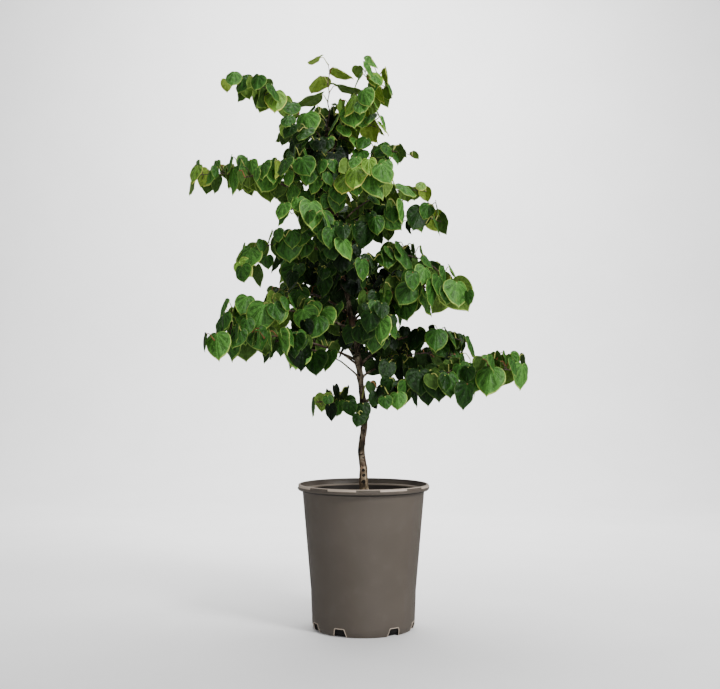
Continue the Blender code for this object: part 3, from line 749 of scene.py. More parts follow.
def grow_finer(trunk, boughs, masses):
    """Every fine shoot and leaf that the picture shows, the leaves with their tones."""
    masses = {
        limb.name: (masses[limb.name][0], true_blades(limb, masses[limb.name][1]))
        for limb in (LEADER, *LIMBS)
    }
    room = filled_room(trunk, boughs, masses)
    rng = random.Random(LOOK_SEED)
    looks, shoots = [], []
    grown = []
    for limb in (LEADER, *LIMBS):
        stems, leaves = masses[limb.name]
        for leaf in leaves:
            young = (leaf.node - stems[0].points[-1]).length < NODE_STEP * 1.5
            gain = TIP_GAIN if young else 0.0
            looks.append(Look(leaf, tone_of(leaf, limb, rng, gain)))
        if limb is not LEADER:
            seed = random.Random(LOOKS[limb.name][1])
            grown += [(limb, *shoot) for shoot in limb_shoots(room, limb, stems, seed)]
    grown += trunk_shoots(room, random.Random(TRUNK_SHOOTS_SEED))
    for limb, shoot, leaves in grown:
        shoots.append(shoot)
        # The fine leaves take a little painted shade
        looks += [Look(leaf, tone_of(leaf, limb, rng, -FINE_PAINTED_SHADE)) for leaf in leaves]
    return looks, shoots


# Meshes


class Heap:
    """Corners and faces gathered from many small shapes, for one joined piece."""

    def __init__(self):
        self.corners, self.faces, self.count = [], [], 0
        self.marked = []

    def add(self, corners, faces, marked=()):
        """Adds a shape; the marked ones of its faces take the piece's second material."""
        self.marked += [i + len(self.faces) for i in marked]
        self.corners.append(np.asarray(corners, dtype=float))
        self.faces += [tuple(i + self.count for i in face) for face in faces]
        self.count += len(corners)

    def piece(self, name, materials, slot, replaced):
        mesh = bpy.data.meshes.new(name)
        corners = np.concatenate(self.corners)
        mesh.from_pydata(corners.tolist(), [], self.faces)
        mesh.shade_smooth()
        for material in materials:
            mesh.materials.append(material)
        for index in self.marked:
            mesh.polygons[index].material_index = 1
        obj = bpy.data.objects.new(name, mesh)
        bpy.context.scene.collection.objects.link(obj)
        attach(obj, "root")
        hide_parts(*replaced)
        return obj


def smooth_line(points, share):
    """The place at a share of the way along an evenly timed smooth line through points."""
    spot = share * (len(points) - 1)
    index = min(int(spot), len(points) - 2)
    t = spot - index
    before, here = points[max(index - 1, 0)], points[index]
    after, beyond = points[index + 1], points[min(index + 2, len(points) - 1)]
    return [
        0.5 * (2 * b + (c - a) * t + (2 * a - 5 * b + 4 * c - d) * t * t
               + (3 * b - a - 3 * c + d) * t**3)
        for a, b, c, d in zip(before, here, after, beyond)
    ]


def blade_outline():
    """The whole heart's points, from one side of the notch round the tip to the other."""
    count = HALF_POINTS
    half = [smooth_line(HALF_HEART, i / count) for i in range(count + 1)]
    return [(-x, y) for x, y in half] + [(x, y) for x, y in reversed(half[:-1])]


def bulge(index):
    """How much the blade swells between its veins at this point of the outline, 0 to 1."""
    offset = abs(index - HALF_POINTS)
    bounds = (*VEIN_OFFSETS, HALF_POINTS + 1)
    low = max(v for v in bounds if v <= offset)
    high = min(v for v in bounds if v > offset)
    return math.sin(math.pi * (offset - low) / (high - low))


class Shape:
    """One form of leaf: how broad, folded, curled and waved it is. Length 1, tip at +Y."""

    def __init__(self, rng):
        self.width = rng.uniform(0.86, 1.06)
        self.fold = rng.uniform(0.05, 0.48)
        self.curl = rng.uniform(0.04, 0.30)
        self.wave = rng.uniform(0.006, 0.022)
        self.phase = rng.uniform(0, math.tau)
        self.skew = rng.uniform(-0.05, 0.05)
        self.quilt = rng.uniform(0.040, 0.065)
        self.outline = blade_outline()

    def place(self, index, ring, lift=0.0):
        """The corner at this point of the outline and share of the way out to it."""
        x, y = self.outline[index]
        x = (x + self.skew * y * y) * self.width * ring
        y = y * ring
        swell = bulge(index)
        z = self.quilt * swell * ring * (1.15 - 0.7 * ring)
        z += RIBS * math.sin(26 * ring + 0.9 * abs(index - HALF_POINTS)) * swell * ring
        z -= self.fold * abs(x) * (0.4 + 0.6 * ring)
        z -= self.curl * max(y, 0.0) ** 2
        z += self.wave * math.sin(index * 0.9 + self.phase) * ring**3
        return x, y, z + lift

    def valleys(self, rings):
        """A sheet's faces that lie beside a vein, pointed towards the rim, by number. They take a darker paint:
        painted shade in the creases along the veins.
        """
        count = len(self.outline)
        veins = {HALF_POINTS + way * offset for offset in VEIN_OFFSETS for way in (-1, 1)}
        return [
            count - 1 + level * (count - 1) + column
            for level in range(len(rings) - 2) for column in range(count - 1)
            if column in veins or column + 1 in veins
        ]

    def sheet(self, rings, lift, flip):
        """A fan and rings from the petiole's joint out, as corners and faces."""
        count = len(self.outline)
        corners = [(0, 0, lift - 0.004)]
        corners += [self.place(i, ring, lift) for ring in rings for i in range(count)]
        faces = [(0, i + 2, i + 1) for i in range(count - 1)]
        for level in range(len(rings) - 1):
            for i in range(count - 1):
                a = 1 + level * count + i
                faces.append((a, a + 1, a + count + 1, a + count))
        if flip:
            faces = [tuple(reversed(face)) for face in faces]
        return np.array(corners), faces

    def margin(self):
        """The pale edge: a narrow band above, round the rim and below."""
        count = len(self.outline)
        bands = ((UPPER_RINGS[-1], 0.0), (1.0, 0.0), (1.0, -BLADE_THICK),
                 (UNDER_RINGS[-1], -BLADE_THICK))
        corners = [self.place(i, ring, lift) for ring, lift in bands for i in range(count)]
        faces = []
        for level in range(len(bands) - 1):
            for i in range(count - 1):
                a = level * count + i
                faces.append((a, a + 1, a + count + 1, a + count))
        return np.array(corners), faces

    def veins(self, rings):
        """Thin three-sided ridges that stand out of the blade above and below."""
        corners, faces = [], []
        for offset in VEIN_OFFSETS:
            for index in {HALF_POINTS - offset, HALF_POINTS + offset}:
                x, y = self.outline[index]
                across = np.array((y, -x, 0)) / math.hypot(x, y)
                first = len(corners)
                for step, ring in enumerate(rings):
                    share = step / (len(rings) - 1)
                    wide = VEIN_WIDTH[0] + (VEIN_WIDTH[1] - VEIN_WIDTH[0]) * share
                    wide *= 1.0 if offset == 0 else 0.75
                    middle = np.array(self.place(index, ring))
                    corners += [
                        middle + across * wide / 2 + (0, 0, VEIN_LIFT),
                        middle - across * wide / 2 + (0, 0, VEIN_LIFT),
                        middle - (0, 0, BLADE_THICK + wide * 0.6),
                    ]
                    if step:
                        a = first + (step - 1) * 3
                        faces += [(a, a + 3, a + 4, a + 1), (a + 1, a + 4, a + 5, a + 2),
                                  (a + 2, a + 5, a + 3, a)]
        return np.array(corners), faces

    def parts(self, rings, vein_rings):
        """The four parts of a blade, each as corners, faces and the faces it marks."""
        return (
            (*self.sheet(rings, 0.0, False), self.valleys(rings)),
            (*self.sheet(UNDER_RINGS, -BLADE_THICK, True), ()),
            (*self.margin(), ()),
            (*self.veins(vein_rings), ()),
        )


def leaf_frame(leaf):
    """The 3 by 3 matrix that turns and scales a shape's corners into a leaf's place."""
    down = (leaf.tip - leaf.base).normalized()
    return np.array((leaf.side, down, leaf.face)) * leaf.length


def tube(stem, sides, step, relief=None, swell=None):
    """A tube along a smooth line through a stem's points, with its ends closed flat."""
    steps = [(b - a).length for a, b in zip(stem.points, stem.points[1:])]
    count = max(2, round(sum(steps) / step))
    points = [Vector(smooth_line(stem.points, i / count)) for i in range(count + 1)]
    radii = [smooth_line([(r,) for r in stem.radii], i / count)[0] for i in range(count + 1)]
    corners = []
    one = (points[1] - points[0]).orthogonal().normalized()
    for index, (point, radius) in enumerate(zip(points, radii)):
        along = (points[min(index + 1, count)] - points[max(index - 1, 0)]).normalized()
        one = (one - along * one.dot(along)).normalized()
        two = along.cross(one)
        thick = radius + (swell(index / count, point) if swell else 0.0)
        for side in range(sides):
            angle = math.tau * side / sides
            way = one * math.cos(angle) + two * math.sin(angle)
            out = thick + (relief(point + way * thick) if relief else 0.0)
            corners.append(point + way * out)
    faces = [
        (r * sides + s, r * sides + (s + 1) % sides,
         (r + 1) * sides + (s + 1) % sides, (r + 1) * sides + s)
        for r in range(count) for s in range(sides)
    ]
    faces.append(tuple(reversed(range(sides))))
    faces.append(tuple(range(count * sides, (count + 1) * sides)))
    return corners, faces


# Materials


class Paint:
    """A procedural material under construction: its nodes, links and main shader."""

    def __init__(self, name, roughness):
        self.material = bpy.data.materials.new(name)
        self.material.use_nodes = True
        self.nodes = self.material.node_tree.nodes
        self.links = self.material.node_tree.links
        self.shader = self.nodes["Principled BSDF"]
        self.shader.inputs["Roughness"].default_value = roughness
        self.place = self.nodes.new("ShaderNodeTexCoord").outputs["Object"]

    def noise(self, scale, detail=3.0, stretch=None):
        """A noise pattern over the object's own coordinates, stretched where asked."""
        pattern = self.nodes.new("ShaderNodeTexNoise")
        pattern.inputs["Scale"].default_value = scale
        pattern.inputs["Detail"].default_value = detail
        source = self.place
        if stretch:
            mapping = self.nodes.new("ShaderNodeMapping")
            mapping.inputs["Scale"].default_value = stretch
            self.links.new(source, mapping.inputs["Vector"])
            source = mapping.outputs["Vector"]
        self.links.new(source, pattern.inputs["Vector"])
        return pattern.outputs["Fac"]

    def ramp(self, source, stops):
        """Colours along a pattern's value, as (position, colour) stops."""
        ramp = self.nodes.new("ShaderNodeValToRGB")
        spots = ramp.color_ramp.elements
        while len(spots) < len(stops):
            spots.new(0.5)
        for spot, (position, colour) in zip(spots, stops):
            spot.position = position
            spot.color = (*colour, 1)
        self.links.new(source, ramp.inputs["Fac"])
        return ramp.outputs["Color"]

    def mix(self, one, two, amount):
        """The second colour laid over the first by a fixed amount or a pattern."""
        mixer = self.nodes.new("ShaderNodeMix")
        mixer.data_type = "RGBA"
        if isinstance(amount, float):
            mixer.inputs["Factor"].default_value = amount
        else:
            self.links.new(amount, mixer.inputs["Factor"])
        self.links.new(one, mixer.inputs["A"])
        self.links.new(two, mixer.inputs["B"])
        return mixer.outputs["Result"]

    def colour(self, source):
        self.links.new(source, self.shader.inputs["Base Color"])

    def bump(self, source, distance, strength=1.0):
        node = self.nodes.new("ShaderNodeBump")
        node.inputs["Distance"].default_value = distance
        node.inputs["Strength"].default_value = strength
        self.links.new(source, node.inputs["Height"])
        self.links.new(node.outputs["Normal"], self.shader.inputs["Normal"])

    def rough(self, source, low, high):
        spread = self.nodes.new("ShaderNodeMapRange")
        spread.inputs["To Min"].default_value = low
        spread.inputs["To Max"].default_value = high
        self.links.new(source, spread.inputs["Value"])
        self.links.new(spread.outputs["Result"], self.shader.inputs["Roughness"])


def shade(colour, factor):
    return tuple(c * factor for c in colour)


def leaf_paint(name, colour, roughness, spread=0.22, specular=0.15):
    """Leaf green, mottled and puckered at the scale of the fields between veins."""
    paint = Paint(name, roughness)
    pattern = paint.noise(150.0, 2.0)
    paint.bump(pattern, 0.0030)
    paint.colour(
        paint.ramp(pattern, ((0.32, shade(colour, 1 - spread)), (0.68, shade(colour, 1 + spread))))
    )
    paint.shader.inputs["Specular IOR Level"].default_value = specular
    return paint.material


def bark_paint(name, gain):
    """Grey-brown bark with long dark streaks, paler flakes and a reddish cast in places."""
    paint = Paint(name, 0.82)
    streaks = paint.noise(110.0, 5.0, (1.0, 1.0, 0.4))
    base = paint.ramp(
        streaks, ((0.36, shade((0.008, 0.0055, 0.003), gain)),
                  (0.45, shade((0.040, 0.029, 0.017), gain)),
                  (0.55, shade((0.088, 0.067, 0.042), gain)),
                  (0.67, shade((0.250, 0.205, 0.145), gain)))
    )
    pits = paint.ramp(paint.noise(170.0, 1.0), ((0.60, (0, 0, 0)), (0.66, (1, 1, 1))))
    dark = paint.ramp(streaks, ((0.3, shade((0.006, 0.004, 0.003), gain)), (0.7, shade((0.020, 0.013, 0.008), gain))))
    base = paint.mix(base, dark, pits)
    red = paint.ramp(paint.noise(55.0, 2.0), ((0.4, shade((0.14, 0.075, 0.045), gain)), (0.7, shade((0.06, 0.03, 0.022), gain))))
    where = paint.noise(24.0, 1.0)
    paint.colour(paint.mix(base, red, paint.ramp(where, ((0.5, (0, 0, 0)), (0.68, (0.5, 0.5, 0.5))))))
    paint.bump(paint.noise(600.0, 4.0, (1.0, 1.0, 0.35)), 0.0006)
    paint.shader.inputs["Specular IOR Level"].default_value = 0.2
    return paint.material


def twig_paint():
    """Young wood: smooth and dark reddish-brown, with pale dots."""
    paint = Paint("young_wood", 0.55)
    tone = paint.ramp(
        paint.noise(160.0, 2.0), ((0.3, (0.022, 0.009, 0.007)), (0.7, (0.075, 0.030, 0.018)))
    )
    dots = paint.ramp(paint.noise(1500.0, 1.0), ((0.66, (0, 0, 0)), (0.72, (0.55, 0.55, 0.55))))
    pale = paint.ramp(paint.noise(90.0, 1.0), ((0.3, (0.20, 0.15, 0.10)), (0.7, (0.28, 0.21, 0.14))))
    paint.colour(paint.mix(tone, pale, dots))
    return paint.material


def plastic_paint(name, gain, gloss):
    """The pot's taupe moulded plastic: a faint mottle, fine grain and dull scuffs. Its gain makes lighter and darker
    copies, used for painted highlights and painted shade.
    """
    paint = Paint(name, gloss)
    paint.shader.inputs["Specular IOR Level"].default_value = 0.35
    low, high = shade((0.078, 0.064, 0.051), gain), shade((0.090, 0.075, 0.061), gain)
    tone = paint.ramp(paint.noise(9.0, 2.0), ((0.3, low), (0.7, high)))
    dust = paint.ramp(paint.noise(38.0, 5.0), ((0.55, (0, 0, 0)), (0.85, (0.10, 0.10, 0.10))))
    pale = paint.ramp(paint.noise(20.0, 1.0), ((0.4, (0.150, 0.135, 0.118)), (0.6, (0.170, 0.152, 0.132))))
    paint.colour(paint.mix(tone, pale, dust))
    paint.rough(paint.noise(60.0, 3.0), gloss, gloss + 0.16)
    paint.bump(paint.noise(1800.0, 2.0), 0.00012)
    return paint.material


def soil_paint(name, low, high):
    paint = Paint(name, 0.95)
    pattern = paint.noise(260.0, 5.0)
    paint.colour(paint.ramp(pattern, ((0.35, low), (0.70, high))))
    paint.bump(pattern, 0.0012)
    return paint.material


# Pieces


def dress_leaves(looks, masses):
    """Every leaf as a closed thin blade in four joined pieces: faces, backs, edges, veins."""
    rng = random.Random(LOOK_SEED + 5)
    shapes = [Shape(rng) for _ in range(SHAPES)]
    large = [shape.parts(UPPER_RINGS, VEIN_RINGS) for shape in shapes]
    small = [shape.parts(SMALL_RINGS, SMALL_VEIN_RINGS) for shape in shapes]
    heaps = {}
    for look in looks:
        turn, base = leaf_frame(look.leaf), np.array(look.leaf.base)
        forms = small if look.leaf.length < SMALL_LEAF else large
        for kind, (corners, faces, marked) in zip(LEAF_PARTS, rng.choice(forms)):
            heap = heaps.setdefault((kind, look.tone), Heap())
            heap.add(corners @ turn + base, faces, marked)
    nodes = ["foliage_" + name for name in masses]
    for tone, _, face in TONES:
        colours = (face, BACKS[tone], EDGES[tone], shade(face, VEIN_GAIN))
        for kind, colour, roughness in zip(LEAF_PARTS, colours, LEAF_ROUGHNESS):
            name = f"{kind}_{tone}"
            paints = [leaf_paint(name, colour, roughness)]
            # The faces beside the veins take a darker copy: painted shade in the creases
            if kind == "leaf_faces":
                paints.append(leaf_paint(f"leaf_valleys_{tone}", shade(colour, VALLEY_PAINTED_SHADE), roughness))
            heaps[kind, tone].piece(name, paints, "foliage", nodes)


def petiole(leaf):
    """A leaf's stalk: it rises from the twig, arches over and thickens at the blade."""
    start, end = leaf.node, leaf.base
    high = start.lerp(end, 0.55) + UP * (end - start).length * PETIOLE_ARCH
    line = [start, start.lerp(high, 0.55), high, end.lerp(high, 0.35), end]
    return Stem(line, PETIOLE_RADII)


def dress_petioles(looks, masses):
    rng = random.Random(LOOK_SEED + 6)
    heaps = {"petioles_green": Heap(), "petioles_red": Heap()}
    for look in looks:
        red = rng.random() < RED_PETIOLES
        kind = "petioles_red" if red else "petioles_green"
        heaps[kind].add(*tube(petiole(look.leaf), 5, PETIOLE / 6))
    heaps["petioles_green"].add(*tube(SPROUT, 8, 0.002))
    nodes = ["foliage_" + name for name in masses]
    green = leaf_paint("petiole_green", (0.30, 0.32, 0.085), 0.5, 0.2)
    red = leaf_paint("petiole_red", (0.22, 0.085, 0.035), 0.5, 0.25)
    heaps["petioles_green"].piece("petioles_green", [green], "foliage", nodes)
    heaps["petioles_red"].piece("petioles_red", [red], "foliage", nodes)


def bud(heap, place, way, size):
    """A small pointed bud."""
    side = way.orthogonal().normalized()
    other = way.cross(side)
    ring = [place + way * size * 0.4 + (side * math.cos(a) + other * math.sin(a)) * size * 0.32
            for a in (i * math.tau / 5 for i in range(5))]
    corners = [place - way * size * 0.2, *ring, place + way * size]
    faces = [(0, (i + 1) % 5 + 1, i + 1) for i in range(5)]
    faces += [(6, i + 1, (i + 1) % 5 + 1) for i in range(5)]
    heap.add(corners, faces)


def dress_twigs(masses, shoots):
    heap = Heap()
    for stems, _ in masses.values():
        for stem in stems:
            nodes = stem.points

            def knuckle(share, point, nodes=nodes):
                near = min((point - node).length for node in nodes)
                return 0.0004 * math.exp(-((near / 0.002) ** 2))

            heap.add(*tube(Stem(nodes, [r * 0.95 for r in stem.radii]), 7, 0.003, swell=knuckle))
            for index in range(1, len(nodes)):
                along = (nodes[index] - nodes[index - 1]).normalized()
                side = level_side(along) * (-1) ** index
                bud(heap, nodes[index] + side * stem.radii[index], (side + along).normalized(), 0.0022)
            bud(heap, nodes[-1], along, 0.0034)
    for shoot in shoots:
        heap.add(*tube(shoot, 5, 0.004))
    heap.piece("twigs", [twig_paint()], "bark", ["foliage_" + name for name in masses])


def bark_relief(point):
    """The bark's ridges and pits at a point on a limb, in metres."""
    ridges = noise.noise(Vector((point.x * 420, point.y * 420, point.z * 110)))
    grain = noise.noise(Vector((point.x * 900, point.y * 900, point.z * 420)))
    return 0.00042 * ridges + 0.00022 * grain


def bark_bulk(height):
    """How far the bark stands out from the trunk's solid, most at its foot."""
    foot = TRUNK_SWAY[0][0]
    even = BARK_THICK * min(1.0, trunk_radius(height) / TRUNK_RADIUS)
    return even + FOOT_THICK * math.exp(-(((height - foot) / 0.055) ** 2))


def dress_bark(boughs):
    """The trunk and the boughs, with ridges, knots, leaf scars and collars at the forks."""
    rng = random.Random(LOOK_SEED + 8)
    foot, top = TRUNK_SWAY[0][0], TRUNK_SWAY[-1][0]
    knots = []
    for _ in range(TRUNK_KNOTS):
        height = rng.uniform(foot + 0.01, top)
        angle = rng.uniform(0, math.tau)
        out = Vector((math.cos(angle), math.sin(angle), 0)) * trunk_radius(height)
        size = rng.uniform(0.0035, 0.0075)
        knots.append((trunk_point(height) + out, size, KNOT_HEIGHT * rng.uniform(0.4, 1.0)))
    for azimuth, size, rise in ROOTS:
        out = heading(azimuth, 0) * trunk_radius(foot) * 1.2
        knots.append((trunk_point(foot) + out + UP * 0.004, size, rise))

    scars = []
    for height, azimuth, size in SCARS:
        out = heading(azimuth, 0) * (trunk_radius(height) + bark_bulk(height))
        scars.append((trunk_point(height) + out, size))

    def knotty(point):
        lump = sum(
            rise * math.exp(-(((point - place).length / size) ** 2))
            for place, size, rise in knots if abs(point.z - place.z) < 0.025
        )
        pit = sum(
            SCAR_DEPTH * (math.exp(-(((point - place).length / (size * 1.5)) ** 2))
                          - 2 * math.exp(-(((point - place).length / size) ** 2)))
            for place, size in scars if abs(point.z - place.z) < 0.012
        )
        return bark_relief(point) + lump + pit

    count = round((top - foot) / 0.004)
    heights = [foot + GAP + (top - foot - GAP) * i / count for i in range(count + 1)]
    own = Stem([trunk_point(h) for h in heights], [trunk_radius(h) for h in heights])

    def collars(share, point):
        collar = sum(
            0.0011 * math.exp(-(((point.z - limb.height - 0.003) / 0.006) ** 2)) for limb in LIMBS
        )
        return collar * min(1.0, trunk_radius(point.z) / TRUNK_RADIUS) + bark_bulk(point.z)

    heap = Heap()
    heap.add(*tube(own, 36, 0.0016, relief=knotty, swell=collars))
    for stem in boughs.values():
        def collar(share, point, stem=stem):
            away = (point - stem.points[0]).length
            return stem.radii[0] * 0.55 * math.exp(-((away / 0.011) ** 2))

        heap.add(*tube(stem, 14, 0.0022, relief=bark_relief, swell=collar))
    nodes = ["trunk", *("bough_" + name for name in boughs)]
    paints = [bark_paint("bark", 0.8), bark_paint("bark_foot", PALE_FOOT), bark_paint("bark_scars", 0.12)]
    bark = heap.piece("bark", paints, "bark", nodes)
    for face in bark.data.polygons:
        spot = face.center
        if spot.z < PALE_BELOW + 0.02 * noise.noise(spot * 160):
            face.material_index = 1
        if any((spot - place).length < size for place, size in scars):
            face.material_index = 2


def arc(middle, radius, start, end, count):
    """Points round part of a circle in the pot's section, by angle from outwards, up."""
    turns = [math.radians(start + (end - start) * i / count) for i in range(count + 1)]
    return [(middle[0] + radius * math.cos(a), middle[1] + radius * math.sin(a)) for a in turns]


def fine_pot_profile():
    """The pot's section at full detail: foot, wall, rolled rim, ledge and inside."""
    under = POT_HEIGHT - RIM_DEPTH
    inner = RIM_RADIUS - LIP_WIDTH
    foot = arc((FOOT_RADIUS - 0.001, 0.0035), 0.0035, -90, -25, 5)
    wall = [
        (HEEL_RADIUS - 0.0006, HEEL_HEIGHT - 0.002),
        (HEEL_RADIUS, HEEL_HEIGHT),
        *(smooth_line(((HEEL_RADIUS, HEEL_HEIGHT), (WAIST_RADIUS, WAIST_HEIGHT)), i / 6) for i in range(1, 6)),
        (WAIST_RADIUS - 0.0002, WAIST_HEIGHT - 0.003),
        (WAIST_RADIUS + 0.0001, WAIST_HEIGHT + 0.002),
        *((pot_radius(z), z) for z in np.linspace(WAIST_HEIGHT + 0.01, NECK_HEIGHT - 0.002, 16)),
        (NECK_RADIUS, NECK_HEIGHT),
    ]
    collar = [
        (NECK_RADIUS + 0.0007, under - 0.0004),
        (NECK_RADIUS + 0.0025, under),
        (RIM_RADIUS - RIM_TUCK[0], under),
    ]
    shoulder = POT_HEIGHT - RIM_BEVEL
    band = [
        *((RIM_RADIUS - RIM_TUCK[0] * (1 - math.cos(turn)), under + RIM_TUCK[1] * (1 - math.sin(turn)))
          for turn in (math.radians(9 * i) for i in range(9, -1, -1))),
        *((RIM_RADIUS, z) for z in np.linspace(under + RIM_TUCK[1], shoulder, 4)[1:]),
    ]
    bevel = [
        (RIM_RADIUS - RIM_SLOPE * (1 - math.cos(turn)), shoulder + RIM_BEVEL * math.sin(turn))
        for turn in (math.radians(9 * i) for i in range(1, 11))
    ]
    lip = arc((inner + 0.0010, POT_HEIGHT - 0.0010), 0.0010, 90, 180, 4)
    inside = [
        (inner, POT_HEIGHT - 0.0030),
        (inner - 0.0004, NECK_HEIGHT + LEDGE_RISE + 0.001),
        (inner - 0.0012, NECK_HEIGHT + LEDGE_RISE),
        (NECK_RADIUS - WALL + 0.001, NECK_HEIGHT + LEDGE_RISE - 0.0008),
        (NECK_RADIUS - WALL, NECK_HEIGHT + LEDGE_RISE - 0.002),
        (NECK_RADIUS - WALL, NECK_HEIGHT),
        (WAIST_RADIUS - WALL, WAIST_HEIGHT),
        (HEEL_RADIUS - WALL, HEEL_HEIGHT),
        (FOOT_RADIUS - WALL, FLOOR),
    ]
    return [*foot, *wall, *collar, *band, *bevel, *lip, *inside]


def pot_radius(height):
    """The outside of the pot's wall between its waist and its neck."""
    share = (height - WAIST_HEIGHT) / (NECK_HEIGHT - WAIST_HEIGHT)
    return WAIST_RADIUS + (NECK_RADIUS - WAIST_RADIUS) * share


def panel_depth(angle, radius, height):
    """How deep the shallow panels round the rim's band are sunk at this place."""
    if height < POT_HEIGHT - RIM_DEPTH + RIM_TUCK[1] - 0.0015:
        return 0.0
    off = (math.degrees(angle) + 90 - PANEL_TURN) % 45
    off = min(off, 45 - off)
    proud = max(0.0, radius - (RIM_RADIUS - PANEL_DEPTH))
    return proud * min(1.0, max(0.0, (PANEL_HALF - off) / 0.8))


def dress_pot():
    """The pot turned at full detail, with its rim panels, floor and drainage notches."""
    profile = fine_pot_profile()
    rows, count = len(profile), POT_SEGMENTS
    corners = []
    for step in range(count):
        angle = math.tau * step / count
        for radius, height in profile:
            out = radius - panel_depth(angle, radius, height)
            corners.append((math.cos(angle) * out, math.sin(angle) * out, height))
    faces = []
    for step in range(count):
        here, there = step * rows, (step + 1) % count * rows
        faces += [(here + i, there + i, there + i + 1, here + i + 1) for i in range(rows - 1)]
    faces.append(tuple(step * rows for step in reversed(range(count))))
    faces.append(tuple(step * rows + rows - 1 for step in range(count)))
    heap = Heap()
    heap.add(corners, faces)
    # The lip's paint is the plastic made much lighter: a painted highlight on the rim's top
    lip = plastic_paint("pot_lip", LIP_HIGHLIGHT_GAIN, 0.24)
    # Paint 2 is near-black painted shade for the notches' cut faces, 3 painted shade under the rim and on the inner
    # wall, 4 a painted highlight on the inner ledge
    paints = [plastic_paint("pot_plastic", 1.0, 0.36), lip, plastic_paint("pot_inside", 0.08, 0.6),
              plastic_paint("pot_grime", PAINTED_SHADE_GAIN, 0.55), plastic_paint("pot_ledge", LEDGE_HIGHLIGHT_GAIN, 0.4)]
    pot = heap.piece("pot_shell", paints, "pot_plastic", ["pot"])
    under = POT_HEIGHT - RIM_DEPTH
    for face in pot.data.polygons:
        spots = [corners[i] for i in face.vertices]
        level = sum(spot[2] for spot in spots) / len(spots)
        reach = min(math.hypot(spot[0], spot[1]) for spot in spots)
        proud = reach > RIM_RADIUS - PANEL_DEPTH + 0.0001 or level > POT_HEIGHT - 0.0012
        # The rim's top, out of the panels, takes the painted highlight
        if level > POT_HEIGHT - LIP_HIGHLIGHT_DEPTH and proud and reach > RIM_RADIUS - LIP_WIDTH + 0.0005:
            face.material_index = 1
        inward = face.normal.x * face.center.x + face.normal.y * face.center.y < 0
        # Painted shade: the rim's underside and the collar outside, and the inner wall below the neck, take the
        # darker paint 3
        tucked = abs(level - under) < UNDER_RIM_SHADE_REACH and reach < RIM_RADIUS - 0.001
        # Painted highlight: the inner ledge and the inner wall above the neck take the lighter paint 4
        if inward and NECK_HEIGHT < level and reach < NECK_RADIUS:
            face.material_index = 4
        elif inward and FLOOR < level < NECK_HEIGHT or tucked and not inward:
            face.material_index = 3
    notches = bpy.data.collections.new("notches")
    bpy.context.scene.collection.children.link(notches)
    for angle in NOTCH_ANGLES:
        notch_cutter(angle, notches)
    cut = pot.modifiers.new("notches", "BOOLEAN")
    cut.operand_type = "COLLECTION"
    cut.collection = notches
    cut.solver = "EXACT"
    cut.material_mode = "INDEX"
    graph = bpy.context.evaluated_depsgraph_get()
    mesh = bpy.data.meshes.new_from_object(pot.evaluated_get(graph))
    pot.modifiers.clear()
    pot.data = mesh
    for obj in list(notches.objects):
        bpy.data.objects.remove(obj)
    bpy.data.collections.remove(notches)
    mesh.shade_smooth()
    mesh.set_sharp_from_angle(angle=math.radians(38))
    beads = Heap()
    for angle in NOTCH_ANGLES:
        beads.add(*tube(notch_bead(angle, profile), 8, BEAD_RADIUS))
    # The beads take the lip's painted highlight
    beads.piece("notch_beads", [lip], "pot_plastic", ["pot"])


def notch_bead(angle, profile):
    """The line of a thin moulded bead round a drainage notch, on the pot's outside. The bead takes the lip's painted
    highlight.
    """
    foot, top, high = NOTCH_WIDTH / 2, NOTCH_WIDTH / 2 * NOTCH_TAPER, NOTCH_HEIGHT
    near = NOTCH_CORNER / 2
    outline = [(-foot, 0.0012), (-(foot + top) / 2, high / 2), (-top - near / 2, high - near * 2),
               (-top + near, high), (0, high), (top - near, high),
               (top + near / 2, high - near * 2), ((foot + top) / 2, high / 2), (foot, 0.0012)]
    heights = [height for _, height in profile[:WALL_ROWS]]
    radii = [radius for radius, _ in profile[:WALL_ROWS]]
    turn = math.radians(angle + NOTCH_TURN - 90)
    points = []
    for across, height in outline:
        radius = float(np.interp(height, heights, radii))
        way = turn + math.asin(across / radius)
        points.append(Vector((math.cos(way) * radius, math.sin(way) * radius, height)))
    return Stem(points, [BEAD_RADIUS] * len(points))


def notch_cutter(angle, home):
    """A wedge with a rounded top, through the corner between the pot's wall and its floor."""
    shape = bmesh.new()
    bmesh.ops.create_cube(shape, size=1)
    for corner in shape.verts:
        low = corner.co.z < 0
        corner.co.x *= NOTCH_CUT
        corner.co.y *= NOTCH_WIDTH * (1 if low else NOTCH_TAPER)
        corner.co.z = -NOTCH_BELOW if low else NOTCH_HEIGHT
    tops = [e for e in shape.edges if all(v.co.z > 0 for v in e.verts)]
    along_x = [e for e in tops if abs(e.verts[0].co.y - e.verts[1].co.y) < WALL]
    bmesh.ops.bevel(shape, geom=along_x, offset=NOTCH_CORNER, segments=5, affect="EDGES")
    # The cut faces take near-black paint 2: painted shade inside the notches
    for face in shape.faces:
        face.material_index = 2
    mesh = bpy.data.meshes.new("notch")
    shape.to_mesh(mesh)
    shape.free()
    obj = bpy.data.objects.new("notch", mesh)
    turn = math.radians(angle + NOTCH_TURN - 90)
    middle = (HEEL_RADIUS + WAIST_RADIUS) / 2
    obj.location = (math.cos(turn) * middle, math.sin(turn) * middle, 0)
    obj.rotation_euler = (0, 0, turn)
    home.objects.link(obj)


